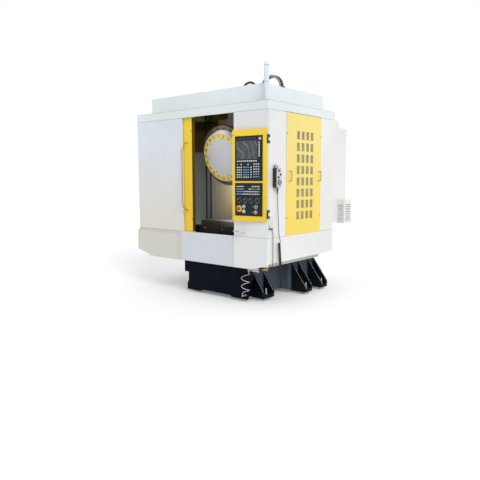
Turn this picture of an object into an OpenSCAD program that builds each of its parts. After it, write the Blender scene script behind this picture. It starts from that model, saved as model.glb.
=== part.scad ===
// Vertical drilling and tapping machining centre with a 21-pocket turret magazine.
// X runs along the front from left to right, Y from the front to the back, Z up from the floor.
// The modules are written from the spindle axis and the front panels; placed() then moves them so
// that the origin lies on the floor under the middle of the whole machine.

/* [Enclosure] */
// Spindle axis to the right side wall
right_reach = 830; // [780:10:900]
// Spindle axis to the left side wall
left_reach = 1170; // [1130:10:1250]
// Front panels to the rear wall
enclosure_d = 1320; // [1300:10:1360]
// Height of the roof above the floor
roof_z = 2120; // [2090:10:2160]
// Height of the band under the roof
header_h = 90; // [60:5:110]
// Height of the seam between the skirt and the panels
skirt_z = 738; // [720:2:750]
// Height of the lower edge of the front skirt
front_skirt_z = 402; // [390:2:440]
// Height of the lower edge of the side skirt
side_skirt_z = 470; // [440:5:500]
// Sheet thickness of the panels
sheet_t = 3; // [2:0.5:4]
// Depth of the folded edges behind the panels
fold_d = 20; // [12:1:22]
// Height of the raised box on the roof
attic_h = 180; // [120:10:240]
// How far the left skirt stands out from the front
skirt_step = 34; // [20:2:50]

/* [Door] */
// Half of the clear width of the front opening
opening_half = 387; // [360:1:400]
// Width of the sliding leaf
leaf_w = 814; // [800:2:830]
// Width of the leaf that stays in sight when it is open
leaf_show = 131; // [120:1:180]
// Distance of the leaf behind the front panels
leaf_back = 25; // [24:1:30]
// Depth of the leaf
leaf_d = 46; // [36:1:48]
// Height of the bow handle
handle_h = 767; // [500:1:900]
// Diameter of the handle bar
handle_dia = 20; // [16:1:26]

/* [Control panel] */
// Width of the panel face
panel_w = 416; // [400:1:420]
// Height of the panel face
panel_h = 933; // [900:1:960]
// Height of its lower edge above the floor
panel_z = 908; // [880:1:940]
// Angle at which the panel stands open at rest
panel_ajar = 6; // [0:1:10]
// Width of the two black units
unit_w = 332; // [320:1:340]
// Height of the display unit
display_h = 455; // [430:1:470]
// Height of the operator unit
operator_h = 338; // [320:1:350]
// Diameter of the rotary knobs
knob_dia = 34; // [26:1:40]
// Diameter of the stop button head
stop_dia = 40; // [30:1:44]

/* [Axes] */
// Distance of the spindle axis behind the front panels
spindle_y = 547; // [545:1:552]
// Height of the spindle nose in its top position
nose_z = 1286; // [1284:1:1290]
// Length of the table
table_w = 850; // [800:10:860]
// Width of the table
table_d = 410; // [380:10:420]
// Height of the table's clamping face
table_z = 850; // [840:1:858]
// Width of the T-slots
slot_w = 14; // [12:1:18]
// Distance between the T-slots
slot_pitch = 125; // [100:5:150]

/* [Magazine] */
// Number of tool pockets
pockets = 21; // [14:1:21]
// Radius of the numbered front disc
disc_r = 278; // [260:1:280]
// Radius of the pocket plate behind it
plate_r = 345; // [335:1:348]
// Angle by which the disc faces down
disc_tilt = 15; // [14:0.5:15]
// Height of the disc's centre
disc_z = 1584; // [1580:1:1590]
// Distance of the disc's centre behind the front panels
disc_y = 251; // [240:1:252]

/* [Base] */
// Half of the width of the base under the table
base_half = 440; // [420:5:460]
// Half of the width of the base under the column
base_rear_half = 560; // [540:5:580]
// Height of the base's upper face
base_z = 560; // [550:1:565]
// Thickness of the base's walls and ribs
rib_t = 28; // [20:1:36]
// Reach of the front feet from the spindle plane
front_foot_x = 588; // [560:1:610]
// Reach of the middle and rear feet from the spindle plane
rear_foot_x = 762; // [720:1:780]
// Radius of the holes for the levelling bolts
jack_r = 12; // [10:0.5:14]

/* [Access panel] */
// Distance of the panel's front edge behind the front panels
access_y = 325; // [315:1:335]
// Width of the panel
access_w = 695; // [680:1:710]
// Width of a window
window_w = 54; // [40:1:60]
// Height of a window
window_h = 87; // [70:1:95]
// Distance between window columns
window_pitch_y = 91; // [84:1:95]
// Distance between window rows
window_pitch_z = 123; // [118:1:125]

/* [Cabinet] */
// Width of the electrical cabinet
cabinet_w = 900; // [800:10:960]
// Height of the cabinet
cabinet_h = 1189; // [1100:1:1200]
// Distance of its rear from the front panels
cabinet_rear = 1900; // [1880:1:1920]
// Diameter of the main switch handle
switch_dia = 62; // [50:1:76]

/* [Pendant] */
// Height of the hand-held pendant
pendant_h = 199; // [190:1:205]
// Width of its face
pendant_w = 85; // [78:1:90]
// Thickness of the pendant
pendant_d = 50; // [44:1:54]
// Diameter of the pulse dial
dial_dia = 58; // [50:1:64]
// Diameter of its cable
cable_d = 7; // [6:0.5:8]
// Outer diameter of the curly stretch
curl_d = 29; // [26:1:32]

/* [Hidden] */
$fn = 48;
EPS = 0.01;

// Extents of the whole machine from the spindle axis and the front panels
pendant_gap = 6;
dial_reach = 20;
handle_out = 96;
switch_reach = 30;
pendant_reach = right_reach + pendant_gap + pendant_d + dial_reach;
front_reach = handle_out - leaf_back + handle_dia / 2;
rear_reach = cabinet_rear + switch_reach;
middle_x = (pendant_reach - left_reach) / 2;
middle_y = (rear_reach - front_reach) / 2;
// Clearance of a piece that is seated but free to move or lift off
seat = 0.3;

header_z = roof_z - header_h;

module placed() {
    translate([-middle_x, -middle_y, 0]) children();
}

// A box from one corner to the opposite one
module block(a, b) {
    translate(a) cube(b - a);
}

// A folded sheet: a face in the XZ plane at y = 0, with its edges folded back along +Y
module sheet_panel(x0, x1, z0, z1, t = sheet_t, fold = fold_d) {
    difference() {
        block([x0, 0, z0], [x1, fold, z1]);
        block([x0 + t, t, z0 + t], [x1 - t, fold + 1, z1 - t]);
    }
}

// The same sheet seen from a side wall: its face at x = 0 looks along +X
module side_sheet(y0, y1, z0, z1, t = sheet_t, fold = fold_d) {
    rotate([0, 0, 90]) sheet_panel(y0, y1, z0, z1, t, fold);
}

module rounded_rect(w, h, r) {
    union() {
        translate([r, 0]) square([w - 2 * r, h]);
        translate([0, r]) square([w, h - 2 * r]);
        for (x = [r, w - r], y = [r, h - r]) translate([x, y]) circle(r);
    }
}

// A rounded plate standing in the XZ plane, from y = 0 back to y = d
module face_plate(x0, z0, w, h, r, d) {
    translate([x0, d, z0]) rotate([90, 0, 0]) linear_extrude(d) rounded_rect(w, h, r);
}

function unit(v) = v / norm(v);
function tangent(route, i) = unit(route[min(i + 1, len(route) - 1)] - route[max(i - 1, 0)]);
function ring(route, i, r, n) =
    let (along = tangent(route, i), side = unit(cross([0, 1, 0], along)), up = cross(along, side))
    [for (k = [0 : n - 1]) route[i] + r * (cos(360 * k / n) * side + sin(360 * k / n) * up)];

// A round cable along the points of a route
module tube(route, d, n = 8) {
    last = len(route) - 1;
    polyhedron(
        [for (i = [0 : last]) each ring(route, i, d / 2, n)],
        concat(
            [[for (k = [0 : n - 1]) k]],
            [[for (k = [n - 1 : -1 : 0]) last * n + k]],
            [for (i = [0 : last - 1], k = [0 : n - 1])
                [i * n + k, (i + 1) * n + k, (i + 1) * n + (k + 1) % n, i * n + (k + 1) % n]]
        )
    );
}

// Machine base

front_y = 129;
base_step_y = 780;
base_rear_y = 1300;
beam_half = 503;
beam_z = 238;
beam_d = 60;
leg_out = 462;
leg_in = 249;
screw_groove = 60;
groove_z = 495;
foot_pad_z = 26;
foot_plate_t = 34;
foot_h = 90;
front_wall_t = 30;
pocket_step = 200;

// Underside pockets between the ribs, open downwards
module rib_pockets(x0, x1, y0, y1, z) {
    nx = ceil((x1 - x0) / pocket_step);
    ny = ceil((y1 - y0) / pocket_step);
    px = (x1 - x0 - rib_t) / nx;
    py = (y1 - y0 - rib_t) / ny;
    for (i = [0 : nx - 1], j = [0 : ny - 1])
        block([x0 + rib_t + i * px, y0 + rib_t + j * py, -1], [x0 + (i + 1) * px, y0 + (j + 1) * py, z]);
}

// One foot: a pad carried by two gussets that slant outwards, on the right side of the base
module foot(root_x, reach, y0, y1, top_z, drop_z) {
    gusset_t = 14;
    inner_x = root_x - 20;
    for (y = [y0, y1 - gusset_t])
        translate([0, y + gusset_t, 0]) rotate([90, 0, 0]) linear_extrude(gusset_t)
            polygon([[inner_x, foot_pad_z], [reach, foot_pad_z], [reach, drop_z], [root_x, top_z],
                     [inner_x, top_z]]);
    difference() {
        block([inner_x, y0, foot_pad_z], [reach, y1, foot_h]);
        block([inner_x - 1, y0 + gusset_t, foot_pad_z + foot_plate_t],
              [reach + 1, y1 - gusset_t, foot_h + 1]);
        translate([reach - foot_edge, (y0 + y1) / 2, 0]) cylinder(r = jack_r, h = foot_h);
        translate([reach - foot_edge - anchor_step, (y0 + y1) / 2, 0]) cylinder(r = anchor_r, h = foot_h);
    }
}

foot_edge = 45;
anchor_step = 55;
anchor_r = 9;
front_feet = [266, 460];
middle_feet = [835, 985];
rear_feet = [1190, 1333];

module feet_right() {
    foot(base_half, front_foot_x, front_feet[0], front_feet[1], 300, 92);
    foot(base_rear_half, rear_foot_x, middle_feet[0], middle_feet[1], 372, 99);
    foot(base_rear_half, rear_foot_x, rear_feet[0], rear_feet[1], 372, 99);
}

// Right half of the front wall, arched between its two legs
module front_wall() {
    translate([0, front_y + front_wall_t, 0]) rotate([90, 0, 0]) linear_extrude(front_wall_t)
        polygon([[0, 66], [leg_in - 83, 70], [leg_in, foot_pad_z], [leg_out, foot_pad_z], [leg_out, 97],
                 [base_half - 50, beam_z + 1], [0, beam_z + 1]]);
}

module base() {
    placed() color("#232a33") {
        difference() {
            union() {
                block([-base_half, front_y, foot_pad_z + 20], [base_half, base_step_y + 1, base_z]);
                block([-base_rear_half, base_step_y, foot_pad_z + 20],
                      [base_rear_half, base_rear_y, base_z - 30]);
                block([-base_half, base_step_y, 200], [base_half, base_rear_y, base_z]);
                block([-beam_half, front_y - 2, beam_z], [beam_half, front_y + beam_d, front_skirt_z - 4]);
                for (s = [0, 1]) mirror([s, 0, 0]) front_wall();
            }
            rib_pockets(-base_half, base_half, front_y + front_wall_t, base_step_y + rib_t, base_z - 110);
            rib_pockets(-base_rear_half, base_rear_half, base_step_y, base_rear_y, base_z - 130);
            block([-screw_groove, front_y + 24, groove_z], [screw_groove, column_y - 20, base_z + 1]);
        }
        feet_right();
        mirror([1, 0, 0]) feet_right();
    }
}

module jack(x, y) {
    translate([x, y, 0]) {
        cylinder(r = 34, h = 18);
        cylinder(r = 20, h = foot_pad_z - seat);
        cylinder(r = jack_r - 0.5, h = foot_h + 40);
        translate([0, 0, foot_pad_z + foot_plate_t + seat]) cylinder(r = 20, h = 18, $fn = 6);
    }
}

function foot_spots() = [
    [front_foot_x - foot_edge, (front_feet[0] + front_feet[1]) / 2],
    [rear_foot_x - foot_edge, (middle_feet[0] + middle_feet[1]) / 2],
    [rear_foot_x - foot_edge, (rear_feet[0] + rear_feet[1]) / 2]
];

module leveling_feet() {
    placed() color("#8a8d8f") for (spot = foot_spots(), side = [-1, 1]) jack(side * spot[0], spot[1]);
}

// Chip tray: two troughs beside the base joined by a gutter in front of it
tray_right = 679;
tray_left = 1020;
tray_z = 395;
tray_top = 590;
tray_rear_y = 1252;
tray_front_y = fold_d + seat;

// A square that leaves room for a part of the base, from y0 to the tray's rear
module tray_gap(half, y0, inset) {
    edge = seat + inset;
    translate([-half - edge, y0 - edge]) square([2 * (half + edge), tray_rear_y]);
}

module tray_plan(inset) {
    difference() {
        translate([-tray_left + inset, tray_front_y + inset])
            square([tray_left + tray_right - 2 * inset, tray_rear_y - tray_front_y - 2 * inset]);
        tray_gap(base_half, front_y - 2, inset);
        tray_gap(base_rear_half, base_step_y, inset);
        translate([-beam_half - seat - inset, front_y - 2 - seat - inset])
            square([2 * (beam_half + seat + inset), beam_d + 2 + 2 * (seat + inset)]);
    }
}

module chip_tray() {
    placed() color("#dcdcd6") difference() {
        translate([0, 0, tray_z]) linear_extrude(tray_top - tray_z) tray_plan(0);
        translate([0, 0, tray_z + sheet_t]) linear_extrude(tray_top - tray_z) tray_plan(sheet_t);
    }
}

// Column

column_y = 960;
column_half = 230;
column_top = 1980;
column_slope_z = 1250;

module column() {
    column_rear = base_rear_y - 20;
    placed() color("#4c5058") difference() {
        translate([column_half, 0, 0]) rotate([90, 0, -90]) mirror([1, 0, 0])
            linear_extrude(2 * column_half)
            polygon([[column_y, base_z], [column_rear, base_z], [column_rear, base_z + 220],
                     [column_rear - 110, column_slope_z], [column_rear - 110, column_top],
                     [column_y, column_top]]);
        for (z = [base_z + 60 : 235 : column_top - 200], x = [-column_half + 30, 15])
            block([x, column_y + 60, z], [x + column_half - 45, column_rear + 1, z + 205]);
    }
}

// Linear guides and ball screws

rail_w = 34;
rail_h = 30;
saddle_half_y = 110;
saddle_half_x = 580;
saddle_z0 = base_z + 44;
saddle_z1 = 690;
y_rail_x = 200;
x_rail_y = 78;
x_screw_z = 690;
y_screw_z = 545;
carriage_l = 70;
carriage_w = 62;
carriage_lift = 4;
run_gap = 0.4;
screw_r = 16;
z_rail_x = 130;
head_back_gap = 5;

y_rail_y0 = 190;
z_rail_z0 = 1060;

// Rails for the saddle on the base and for the spindle head on the column
module guide_rails() {
    placed() color("#a9adb0") for (s = [-1, 1]) {
        translate([s * y_rail_x, 0, 0])
            block([-rail_w / 2, y_rail_y0, base_z], [rail_w / 2, column_y - 30, base_z + rail_h]);
        translate([s * z_rail_x, 0, 0])
            block([-rail_w / 2, column_y - rail_h, z_rail_z0], [rail_w / 2, column_y, column_top - 20]);
    }
}

// A guide carriage that rides on a rail along Y, with its top at z = top
module carriage(top, bottom) {
    difference() {
        block([-carriage_w / 2, -carriage_l / 2, bottom], [carriage_w / 2, carriage_l / 2, top]);
        block([-rail_w / 2 - run_gap, -carriage_l, bottom - 1],
              [rail_w / 2 + run_gap, carriage_l, bottom + rail_h - carriage_lift + run_gap]);
    }
}

module saddle() {
    placed() color("#565a60") {
        translate([0, spindle_y, 0]) difference() {
            block([-saddle_half_x, -saddle_half_y, saddle_z0], [saddle_half_x, saddle_half_y, saddle_z1]);
            block([-saddle_half_x + 40, -45, x_screw_z - 45], [saddle_half_x - 40, 45, saddle_z1 + 1]);
            translate([-saddle_half_x - 1, 0, x_screw_z]) rotate([0, 90, 0])
                cylinder(r = screw_r + run_gap, h = 2 * saddle_half_x + 2);
            block([-saddle_half_x - 1, -20, saddle_z1 - 2], [saddle_half_x + 1, 20, saddle_z1 + 18]);
        }
        for (x = [-y_rail_x, y_rail_x], y = [-68, 68])
            translate([x, spindle_y + y, 0]) carriage(saddle_z0 + EPS, base_z + carriage_lift);
        // Nut bracket around the Y screw
        difference() {
            translate([0, spindle_y, 0]) block([-44, -40, y_screw_z - 34], [44, 40, saddle_z0 + EPS]);
            translate([0, spindle_y - 50, y_screw_z]) rotate([-90, 0, 0])
                cylinder(r = screw_r + run_gap, h = 100);
        }
        // Last way cover with its flange on the saddle's front
        way_cover(cover_count, cover_y(cover_count));
        difference() {
            translate([0, spindle_y - saddle_half_y - sheet_t, 0])
                block([-cover_half, 0, saddle_z0 + 6],
                      [cover_half, sheet_t, cover_top + cover_count * cover_step - cover_t]);
            block([-120, 0, 0], [120, spindle_y, saddle_z0 + 40]);
        }
    }
}

// Telescopic way covers: inverted troughs, each a little larger than the one in front of it
cover_t = 1.5;
cover_step = cover_t + seat;
cover_l = 124;
cover_half = 470;
cover_top = 700;
cover_bottom = base_z + 32;
cover_count = 4;
cover_y0 = 98;
cover_pitch = (spindle_y - saddle_half_y - cover_l - cover_y0) / cover_count;

function cover_y(k) = cover_y0 + k * cover_pitch;

module way_cover(k, y) {
    half = cover_half + k * cover_step;
    top = cover_top + k * cover_step;
    difference() {
        block([-half, y, cover_bottom], [half, y + cover_l, top]);
        block([-half + cover_t, y - 1, cover_bottom - 1], [half - cover_t, y + cover_l + 1, top - cover_t]);
    }
}

module way_cover_1() {
    placed() color("#a4a8aa") way_cover(1, cover_y(1));
}

module way_cover_2() {
    placed() color("#a4a8aa") way_cover(2, cover_y(2));
}

module way_cover_3() {
    placed() color("#a4a8aa") way_cover(3, cover_y(3));
}

table_z0 = saddle_z1 + 56;

module t_slots() {
    for (y = [-slot_pitch, 0, slot_pitch]) {
        block([-table_w, y - slot_w / 2, table_z - 24], [table_w, y + slot_w / 2, table_z + 1]);
        block([-table_w, y - slot_w * 0.86, table_z - 24], [table_w, y + slot_w * 0.86, table_z - 14]);
    }
}

module table() {
    placed() color("#9da0a2") translate([0, spindle_y, 0]) {
        difference() {
            block([-table_w / 2, -table_d / 2, table_z0], [table_w / 2, table_d / 2, table_z]);
            t_slots();
            for (s = [-1, 1]) scale([1, s, 1])
                block([-table_w / 2 - 1, table_d / 2 - 14, table_z0 - 1],
                      [table_w / 2 + 1, table_d / 2 + 1, table_z0 + 22]);
        }
        for (x = [-150, 150], y = [-x_rail_y, x_rail_y])
            translate([x, y, 0]) rotate([0, 0, 90]) carriage(table_z0 + EPS, saddle_z1 + carriage_lift);
        // Nut bracket around the X screw
        difference() {
            block([-45, -34, x_screw_z - 34], [45, 34, table_z0 + EPS]);
            translate([-60, 0, x_screw_z]) rotate([0, 90, 0]) cylinder(r = screw_r + run_gap, h = 120);
        }
    }
}

z_screw_y = column_y - 48;
y_motor_y = 272;

// A servo motor with its axis along +Z, flange at z = 0
module servo(w, h) {
    difference() {
        translate([-w / 2, -w / 2, 0]) linear_extrude(h) rounded_rect(w, w, w / 9);
        translate([0, 0, -1]) cylinder(r = screw_r + 1, h = 20);
    }
    translate([-w * 0.42, -w * 0.42, h - EPS]) linear_extrude(34) rounded_rect(w * 0.84, w * 0.84, w / 9);
    translate([-w / 5, w * 0.42 - EPS, h + 2]) cube([w * 0.4, 16, 24]);
}

servo_w = 90;

// Ball screws and motors of the saddle and the spindle head
module axis_drives() {
    placed() {
        color("#b9bcbe") translate([0, y_motor_y, y_screw_z]) rotate([-90, 0, 0])
            cylinder(r = screw_r, h = column_y - 60 - y_motor_y);
        color("#b9bcbe") translate([0, z_screw_y, z_rail_z0 + 10])
            cylinder(r = screw_r, h = column_top + 12 - z_rail_z0);
        color("#2b2d30") translate([0, y_motor_y, y_screw_z]) rotate([90, 0, 0]) servo(servo_w, 75);
        color("#2b2d30") translate([0, z_screw_y - 2, column_top + 22]) servo(servo_w + 20, 90);
        // Bracket that carries the Z motor over the column's front edge
        color("#4c5058") difference() {
            block([-75, z_screw_y - 62, column_top], [75, column_y + 60, column_top + 22]);
            translate([0, z_screw_y, column_top - 1]) cylinder(r = screw_r + run_gap, h = 30);
        }
    }
}

// Rails, ball screw and motor that the saddle carries for the table
module x_drive() {
    placed() {
        color("#a9adb0") for (s = [-1, 1]) translate([0, spindle_y + s * x_rail_y, 0])
            block([-saddle_half_x + 6, -rail_w / 2, saddle_z1],
                  [saddle_half_x - 6, rail_w / 2, saddle_z1 + rail_h]);
        color("#b9bcbe") translate([-saddle_half_x + 8, spindle_y, x_screw_z]) rotate([0, 90, 0])
            cylinder(r = screw_r, h = 2 * saddle_half_x - 8);
        color("#2b2d30") translate([saddle_half_x, spindle_y, x_screw_z]) rotate([90, 0, 90])
            servo(servo_w, 75);
    }
}

// Spindle head

head_half = 125;
head_front = spindle_y - 75;
head_z0 = nose_z + 70;
head_z1 = column_top - 80;
head_back = column_y - rail_h - head_back_gap;
head_bore_r = 66;

module spindle_head() {
    placed() color("#6b655c") {
        difference() {
            union() {
                // Side outline of the casting, deep at the column and slender at the spindle
                translate([head_half, 0, 0]) rotate([90, 0, -90]) mirror([1, 0, 0])
                    linear_extrude(2 * head_half)
                    polygon([[head_front, head_z0], [spindle_y + 90, head_z0],
                             [spindle_y + 170, head_z0 + 110],
                             [head_back, head_z0 + 40], [head_back, head_z1 + 20],
                             [spindle_y + 150, head_z1 + 20],
                             [spindle_y + 110, head_z1], [head_front, head_z1]]);
                // Wide plate with the guide carriages
                block([-z_rail_x - 38, head_back - 46, head_z0 + 40],
                      [z_rail_x + 38, head_back, head_z1 + 20]);
            }
            translate([0, spindle_y, head_z0 - 1]) cylinder(r = head_bore_r, h = head_z1 - head_z0 + 30);
            translate([0, z_screw_y, head_z0]) cylinder(r = screw_r + run_gap + 6, h = head_z1);
            for (s = [-1, 1]) scale([s, 1, 1])
                block([head_half - 16, spindle_y + 130, head_z0 + 160],
                      [head_half + 1, head_back - 80, head_z1 - 60]);
        }
        for (x = [-z_rail_x, z_rail_x], z = [head_z0 + 90, head_z1 - 80])
            translate([x, column_y, z]) rotate([90, 0, 0])
                carriage(rail_h + head_back_gap + EPS, carriage_lift);
        // Splash apron that hangs from the head in front of the column
        block([-z_rail_x - 45, head_back - 52, nose_z - 96], [z_rail_x + 45, head_back - 49, head_z0 + 60]);
        block([-z_rail_x - 38, head_back - 49, head_z0 + 40],
              [z_rail_x + 38, head_back - 45, head_z0 + 60]);
        spindle_motor();
    }
}

module spindle_motor() {
    translate([0, spindle_y, head_z1]) {
        cylinder(r = 70, h = 16);
        translate([-98, -98, 16]) linear_extrude(190) rounded_rect(196, 196, 20);
        translate([0, 0, 206 - EPS]) cylinder(r = 78, h = 40);
        translate([-50, 96, 120]) cube([100, 40, 70]);
    }
}

// Turning spindle with a taper bore in its nose
nose_r = 45;
nose_h = 40;
taper_r = 15.875;
taper_l = 48;
drawbar_r = 8.9;

module spindle() {
    placed() color("#c4c7c9") translate([0, spindle_y, 0]) difference() {
        union() {
            translate([0, 0, nose_z]) cylinder(r = nose_r, h = nose_h);
            translate([0, 0, nose_z + nose_h - EPS]) cylinder(r = 60, h = 32);
            translate([0, 0, nose_z + nose_h + 31])
                cylinder(r = head_bore_r - 0.5, h = head_z1 - nose_z - nose_h - 33);
        }
        // Tool socket with the 7/24 taper, and the drawbar's hole above it
        translate([0, 0, nose_z - EPS])
            cylinder(r1 = taper_r, r2 = taper_r - taper_l * 7 / 48, h = taper_l);
        translate([0, 0, nose_z]) cylinder(r = drawbar_r, h = 110);
    }
}

// Turret magazine. Its own axis is +Z here, which then looks forward and down.

disc_depth = 60;
plate_depth0 = 60.5;
plate_depth1 = 70;
plate_hole_r = 12;
plate_hole_at = 318;
fork_r = 335;
fork_depth = 120;
swing_y = 652;
swing_z = 1881;
pivot_r = 15;

module on_disc() {
    translate([0, disc_y, disc_z]) rotate([90 + disc_tilt, 0, 0]) children();
}

module magazine_disc() {
    placed() color("#dfe0df") on_disc() difference() {
        rotate_extrude()
            polygon([[0, 0], [disc_r - 6, 0], [disc_r, -4], [disc_r + 4, -10], [disc_r + 22, -disc_depth],
                     [disc_r + 18, -disc_depth], [disc_r, -12], [disc_r - 6, -6],
                     [60, -6], [60, -disc_depth], [0, -disc_depth]]);
        translate([0, 0, -disc_depth - 1]) cylinder(r = 30, h = disc_depth - 14);
    }
}

// Plate with a hole and a pair of sprung fingers for each pocket
module pocket_plate() {
    placed() color("#7a6f5c") on_disc() {
        difference() {
            translate([0, 0, -plate_depth1]) cylinder(r = plate_r, h = plate_depth1 - plate_depth0);
            for (i = [0 : pockets - 1]) rotate(i * 360 / pockets + 180 / pockets)
                translate([0, plate_hole_at, -plate_depth1 - 1])
                    cylinder(r = plate_hole_r, h = 20, $fn = 20);
            translate([0, 0, -plate_depth1 - 1]) cylinder(r = 30, h = 20);
        }
        for (i = [0 : pockets - 1]) rotate(180 + i * 360 / pockets) tool_fork();
    }
}

module tool_fork() {
    difference() {
        translate([0, fork_r, -plate_depth1 - 60]) union() {
            for (s = [-1, 1]) translate([s * 28 - 5, -7, 0]) cube([10, 14, 60]);
            translate([-33, -7, 40]) cube([66, 14, 20 + EPS]);
        }
        translate([0, fork_r, -fork_depth - 40]) cylinder(r = 23.5, h = 60, $fn = 24);
    }
}

// Swinging arm that carries the turret's hub
arm_x = 150;
arm_t = 14;

// Spots in the swing plane, as (y, z) from the disc's centre and from the pivot
function from_disc(y, z) = [disc_y + y, disc_z + z];
function from_pivot(y, z) = [swing_y + y, swing_z + z];

// Side plate of the arm, from the hub behind the disc up to the pivot
module arm_plate() {
    rotate([90, 0, 90]) linear_extrude(arm_t) difference() {
        polygon([from_disc(85, -24), from_disc(109, -24), from_disc(144, 56), from_pivot(-182, -141),
                 from_pivot(34, -20), from_pivot(34, 34), from_pivot(-34, 34), from_pivot(-232, -81),
                 from_disc(71, 116), from_disc(67, 56)]);
        translate([swing_y, swing_z]) circle(pivot_r);
    }
}

module magazine_arm() {
    placed() color("#55585c") {
        for (s = [-1, 1]) translate([s * arm_x - arm_t / 2, 0, 0]) arm_plate();
        on_disc() translate([0, 0, -plate_depth1 - 30]) {
            translate([-arm_x, -60, 0]) cube([2 * arm_x, 120, 16]);
            translate([0, 0, -26]) cylinder(r = 50, h = 32);
            translate([0, 0, 8]) cylinder(r = 29.6, h = plate_depth1 + 6);
        }
    }
}

// Bracket on the column that holds the arm's pivot pins, with a cover in front of the head's top
bracket_half = 190;
bracket_y = 395;
bracket_z0 = column_top - 130;
bracket_z1 = column_top + 45;
bracket_eye_z = column_top - 40;

module arm_bracket() {
    flange_x = column_half - 5;
    placed() color("#5a4f45") {
        for (s = [0, 1]) mirror([s, 0, 0]) {
            difference() {
                block([bracket_half - 14, bracket_y, bracket_z0], [bracket_half, column_y, bracket_z1]);
                block([bracket_half - 20, bracket_y - 1, bracket_z0 - 50],
                      [bracket_half + 20, bracket_y + 165, bracket_eye_z]);
                block([bracket_half - 20, column_y - 100, column_top],
                      [bracket_half + 20, column_y + 1, bracket_z1 + 5]);
            }
            translate([arm_x - arm_t / 2 - 4, swing_y, swing_z]) rotate([0, 90, 0])
                cylinder(r = pivot_r - 0.05, h = bracket_half - arm_x + arm_t / 2);
            block([bracket_half - 1, column_y - 14, bracket_z0], [flange_x, column_y, column_top - 10]);
        }
        block([-bracket_half, bracket_y, bracket_eye_z], [bracket_half, bracket_y + 6, bracket_z1]);
    }
}

// Enclosure

attic_left = 980;
attic_right = 730;
attic_front = 77;
attic_rear = 1210;
hose_x = [-900, -820];
hose_y = 940;
hose_clip = 15;

// Roof with the band below it and the raised box above it
module roof() {
    placed() color("#dfe4e8") difference() {
        union() {
            block([-left_reach, 0, header_z], [right_reach, enclosure_d, roof_z]);
            block([-attic_left, attic_front, roof_z - 1], [attic_right, attic_rear, roof_z + attic_h]);
        }
        block([-left_reach + sheet_t, sheet_t, header_z - 1],
              [right_reach - sheet_t, enclosure_d - sheet_t, roof_z - sheet_t]);
        difference() {
            block([-attic_left + sheet_t, attic_front + sheet_t, roof_z - 10],
                  [attic_right - sheet_t, attic_rear - sheet_t, roof_z + attic_h - sheet_t]);
            hose_clips(roof_z + attic_h - sheet_t - hose_clip, roof_z + attic_h);
        }
    }
}

// Fittings that hold the two cabin hoses
module hose_clips(z0, z1) {
    for (x = hose_x) block([x - 16, hose_y - 16, z0], [x + 16, hose_y + 16, z1]);
}

module left_front_panel() {
    placed() color("#dfe1e0") sheet_panel(-left_reach, -opening_half, skirt_z, header_z);
}

panel_margin = 15;
panel_x1 = right_reach - 2;
panel_x0 = panel_x1 - panel_w;

// A block behind the control panel, inset from the panel's edges, from y0 back to y1
module behind_panel(inset, y0, y1) {
    block([panel_x0 + inset, y0, panel_z + inset], [panel_x1 - inset, y1, panel_z + panel_h - inset]);
}

module right_front_panel() {
    placed() color("#dddddd") difference() {
        union() {
            sheet_panel(opening_half, right_reach, skirt_z, header_z);
            behind_panel(panel_margin - 5 - sheet_t, 0, fold_d);
        }
        behind_panel(panel_margin - 5, -1, fold_d + 1);
    }
}

// Side walls: the left one is whole; the right one has the access panel in it and a notch for the panel's box
module side_walls() {
    placed() color("#e8e8e4") {
        translate([-left_reach, 0, 0]) mirror([1, 0, 0]) side_sheet(fold_d, enclosure_d, skirt_z, header_z);
        difference() {
            translate([right_reach, 0, 0]) side_sheet(fold_d, access_y, skirt_z, header_z);
            behind_panel(panel_margin - 5, fold_d - 1, fold_d + sheet_t + 1);
        }
        translate([right_reach, 0, 0]) side_sheet(access_y + access_w, enclosure_d, skirt_z, header_z);
    }
}

module rear_wall() {
    placed() color("#e2e3e2") difference() {
        block([-left_reach + fold_d, enclosure_d - fold_d, skirt_z],
              [right_reach - fold_d, enclosure_d, header_z]);
        block([-left_reach + fold_d + sheet_t, enclosure_d - fold_d - 1, skirt_z + sheet_t],
              [right_reach - fold_d - sheet_t, enclosure_d - sheet_t, header_z - sheet_t]);
    }
}

// A skirt section with its outline in the XZ plane
module skirt(points, y0 = 0) {
    translate([0, y0 + fold_d, 0]) rotate([90, 0, 0]) difference() {
        linear_extrude(fold_d) polygon(points);
        translate([0, 0, -1]) linear_extrude(fold_d - sheet_t + 1) offset(delta = -sheet_t) polygon(points);
    }
}

left_seam = -424;
right_seam = 374;
left_chamfer_x = -875;
right_chamfer_x = 605;
left_corner_z = 475;
right_corner_z = 452;

// Skirt sections on the front and the sides
module skirts() {
    placed() {
        color("#d9d6ce") left_skirt();
        color("#ccd0d8") sheet_panel(left_seam, right_seam, front_skirt_z, skirt_z);
        color("#dddddd")
            skirt([[right_seam, front_skirt_z], [right_chamfer_x, front_skirt_z],
                   [right_reach, right_corner_z],
                   [right_reach, skirt_z], [right_seam, skirt_z]]);
        color("#e8e8e4") side_skirts();
    }
}

// Outline of the left skirt, drawn in at its seam and at its top
function left_outline(seam, top) = [
    [-left_reach, left_corner_z], [left_chamfer_x, front_skirt_z], [left_seam - seam, front_skirt_z],
    [left_seam - seam, skirt_z - top], [-left_reach, skirt_z - top]
];

module left_skirt() {
    layers = 5;
    layer_t = skirt_step / layers;
    skirt(left_outline(0, 0));
    // Face that stands out, with a bevelled shoulder
    for (k = [1 : layers]) translate([0, -(k - 1) * layer_t + EPS, 0]) rotate([90, 0, 0])
        linear_extrude(layer_t + EPS) polygon(left_outline(7 * k, 6 * k));
}

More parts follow.
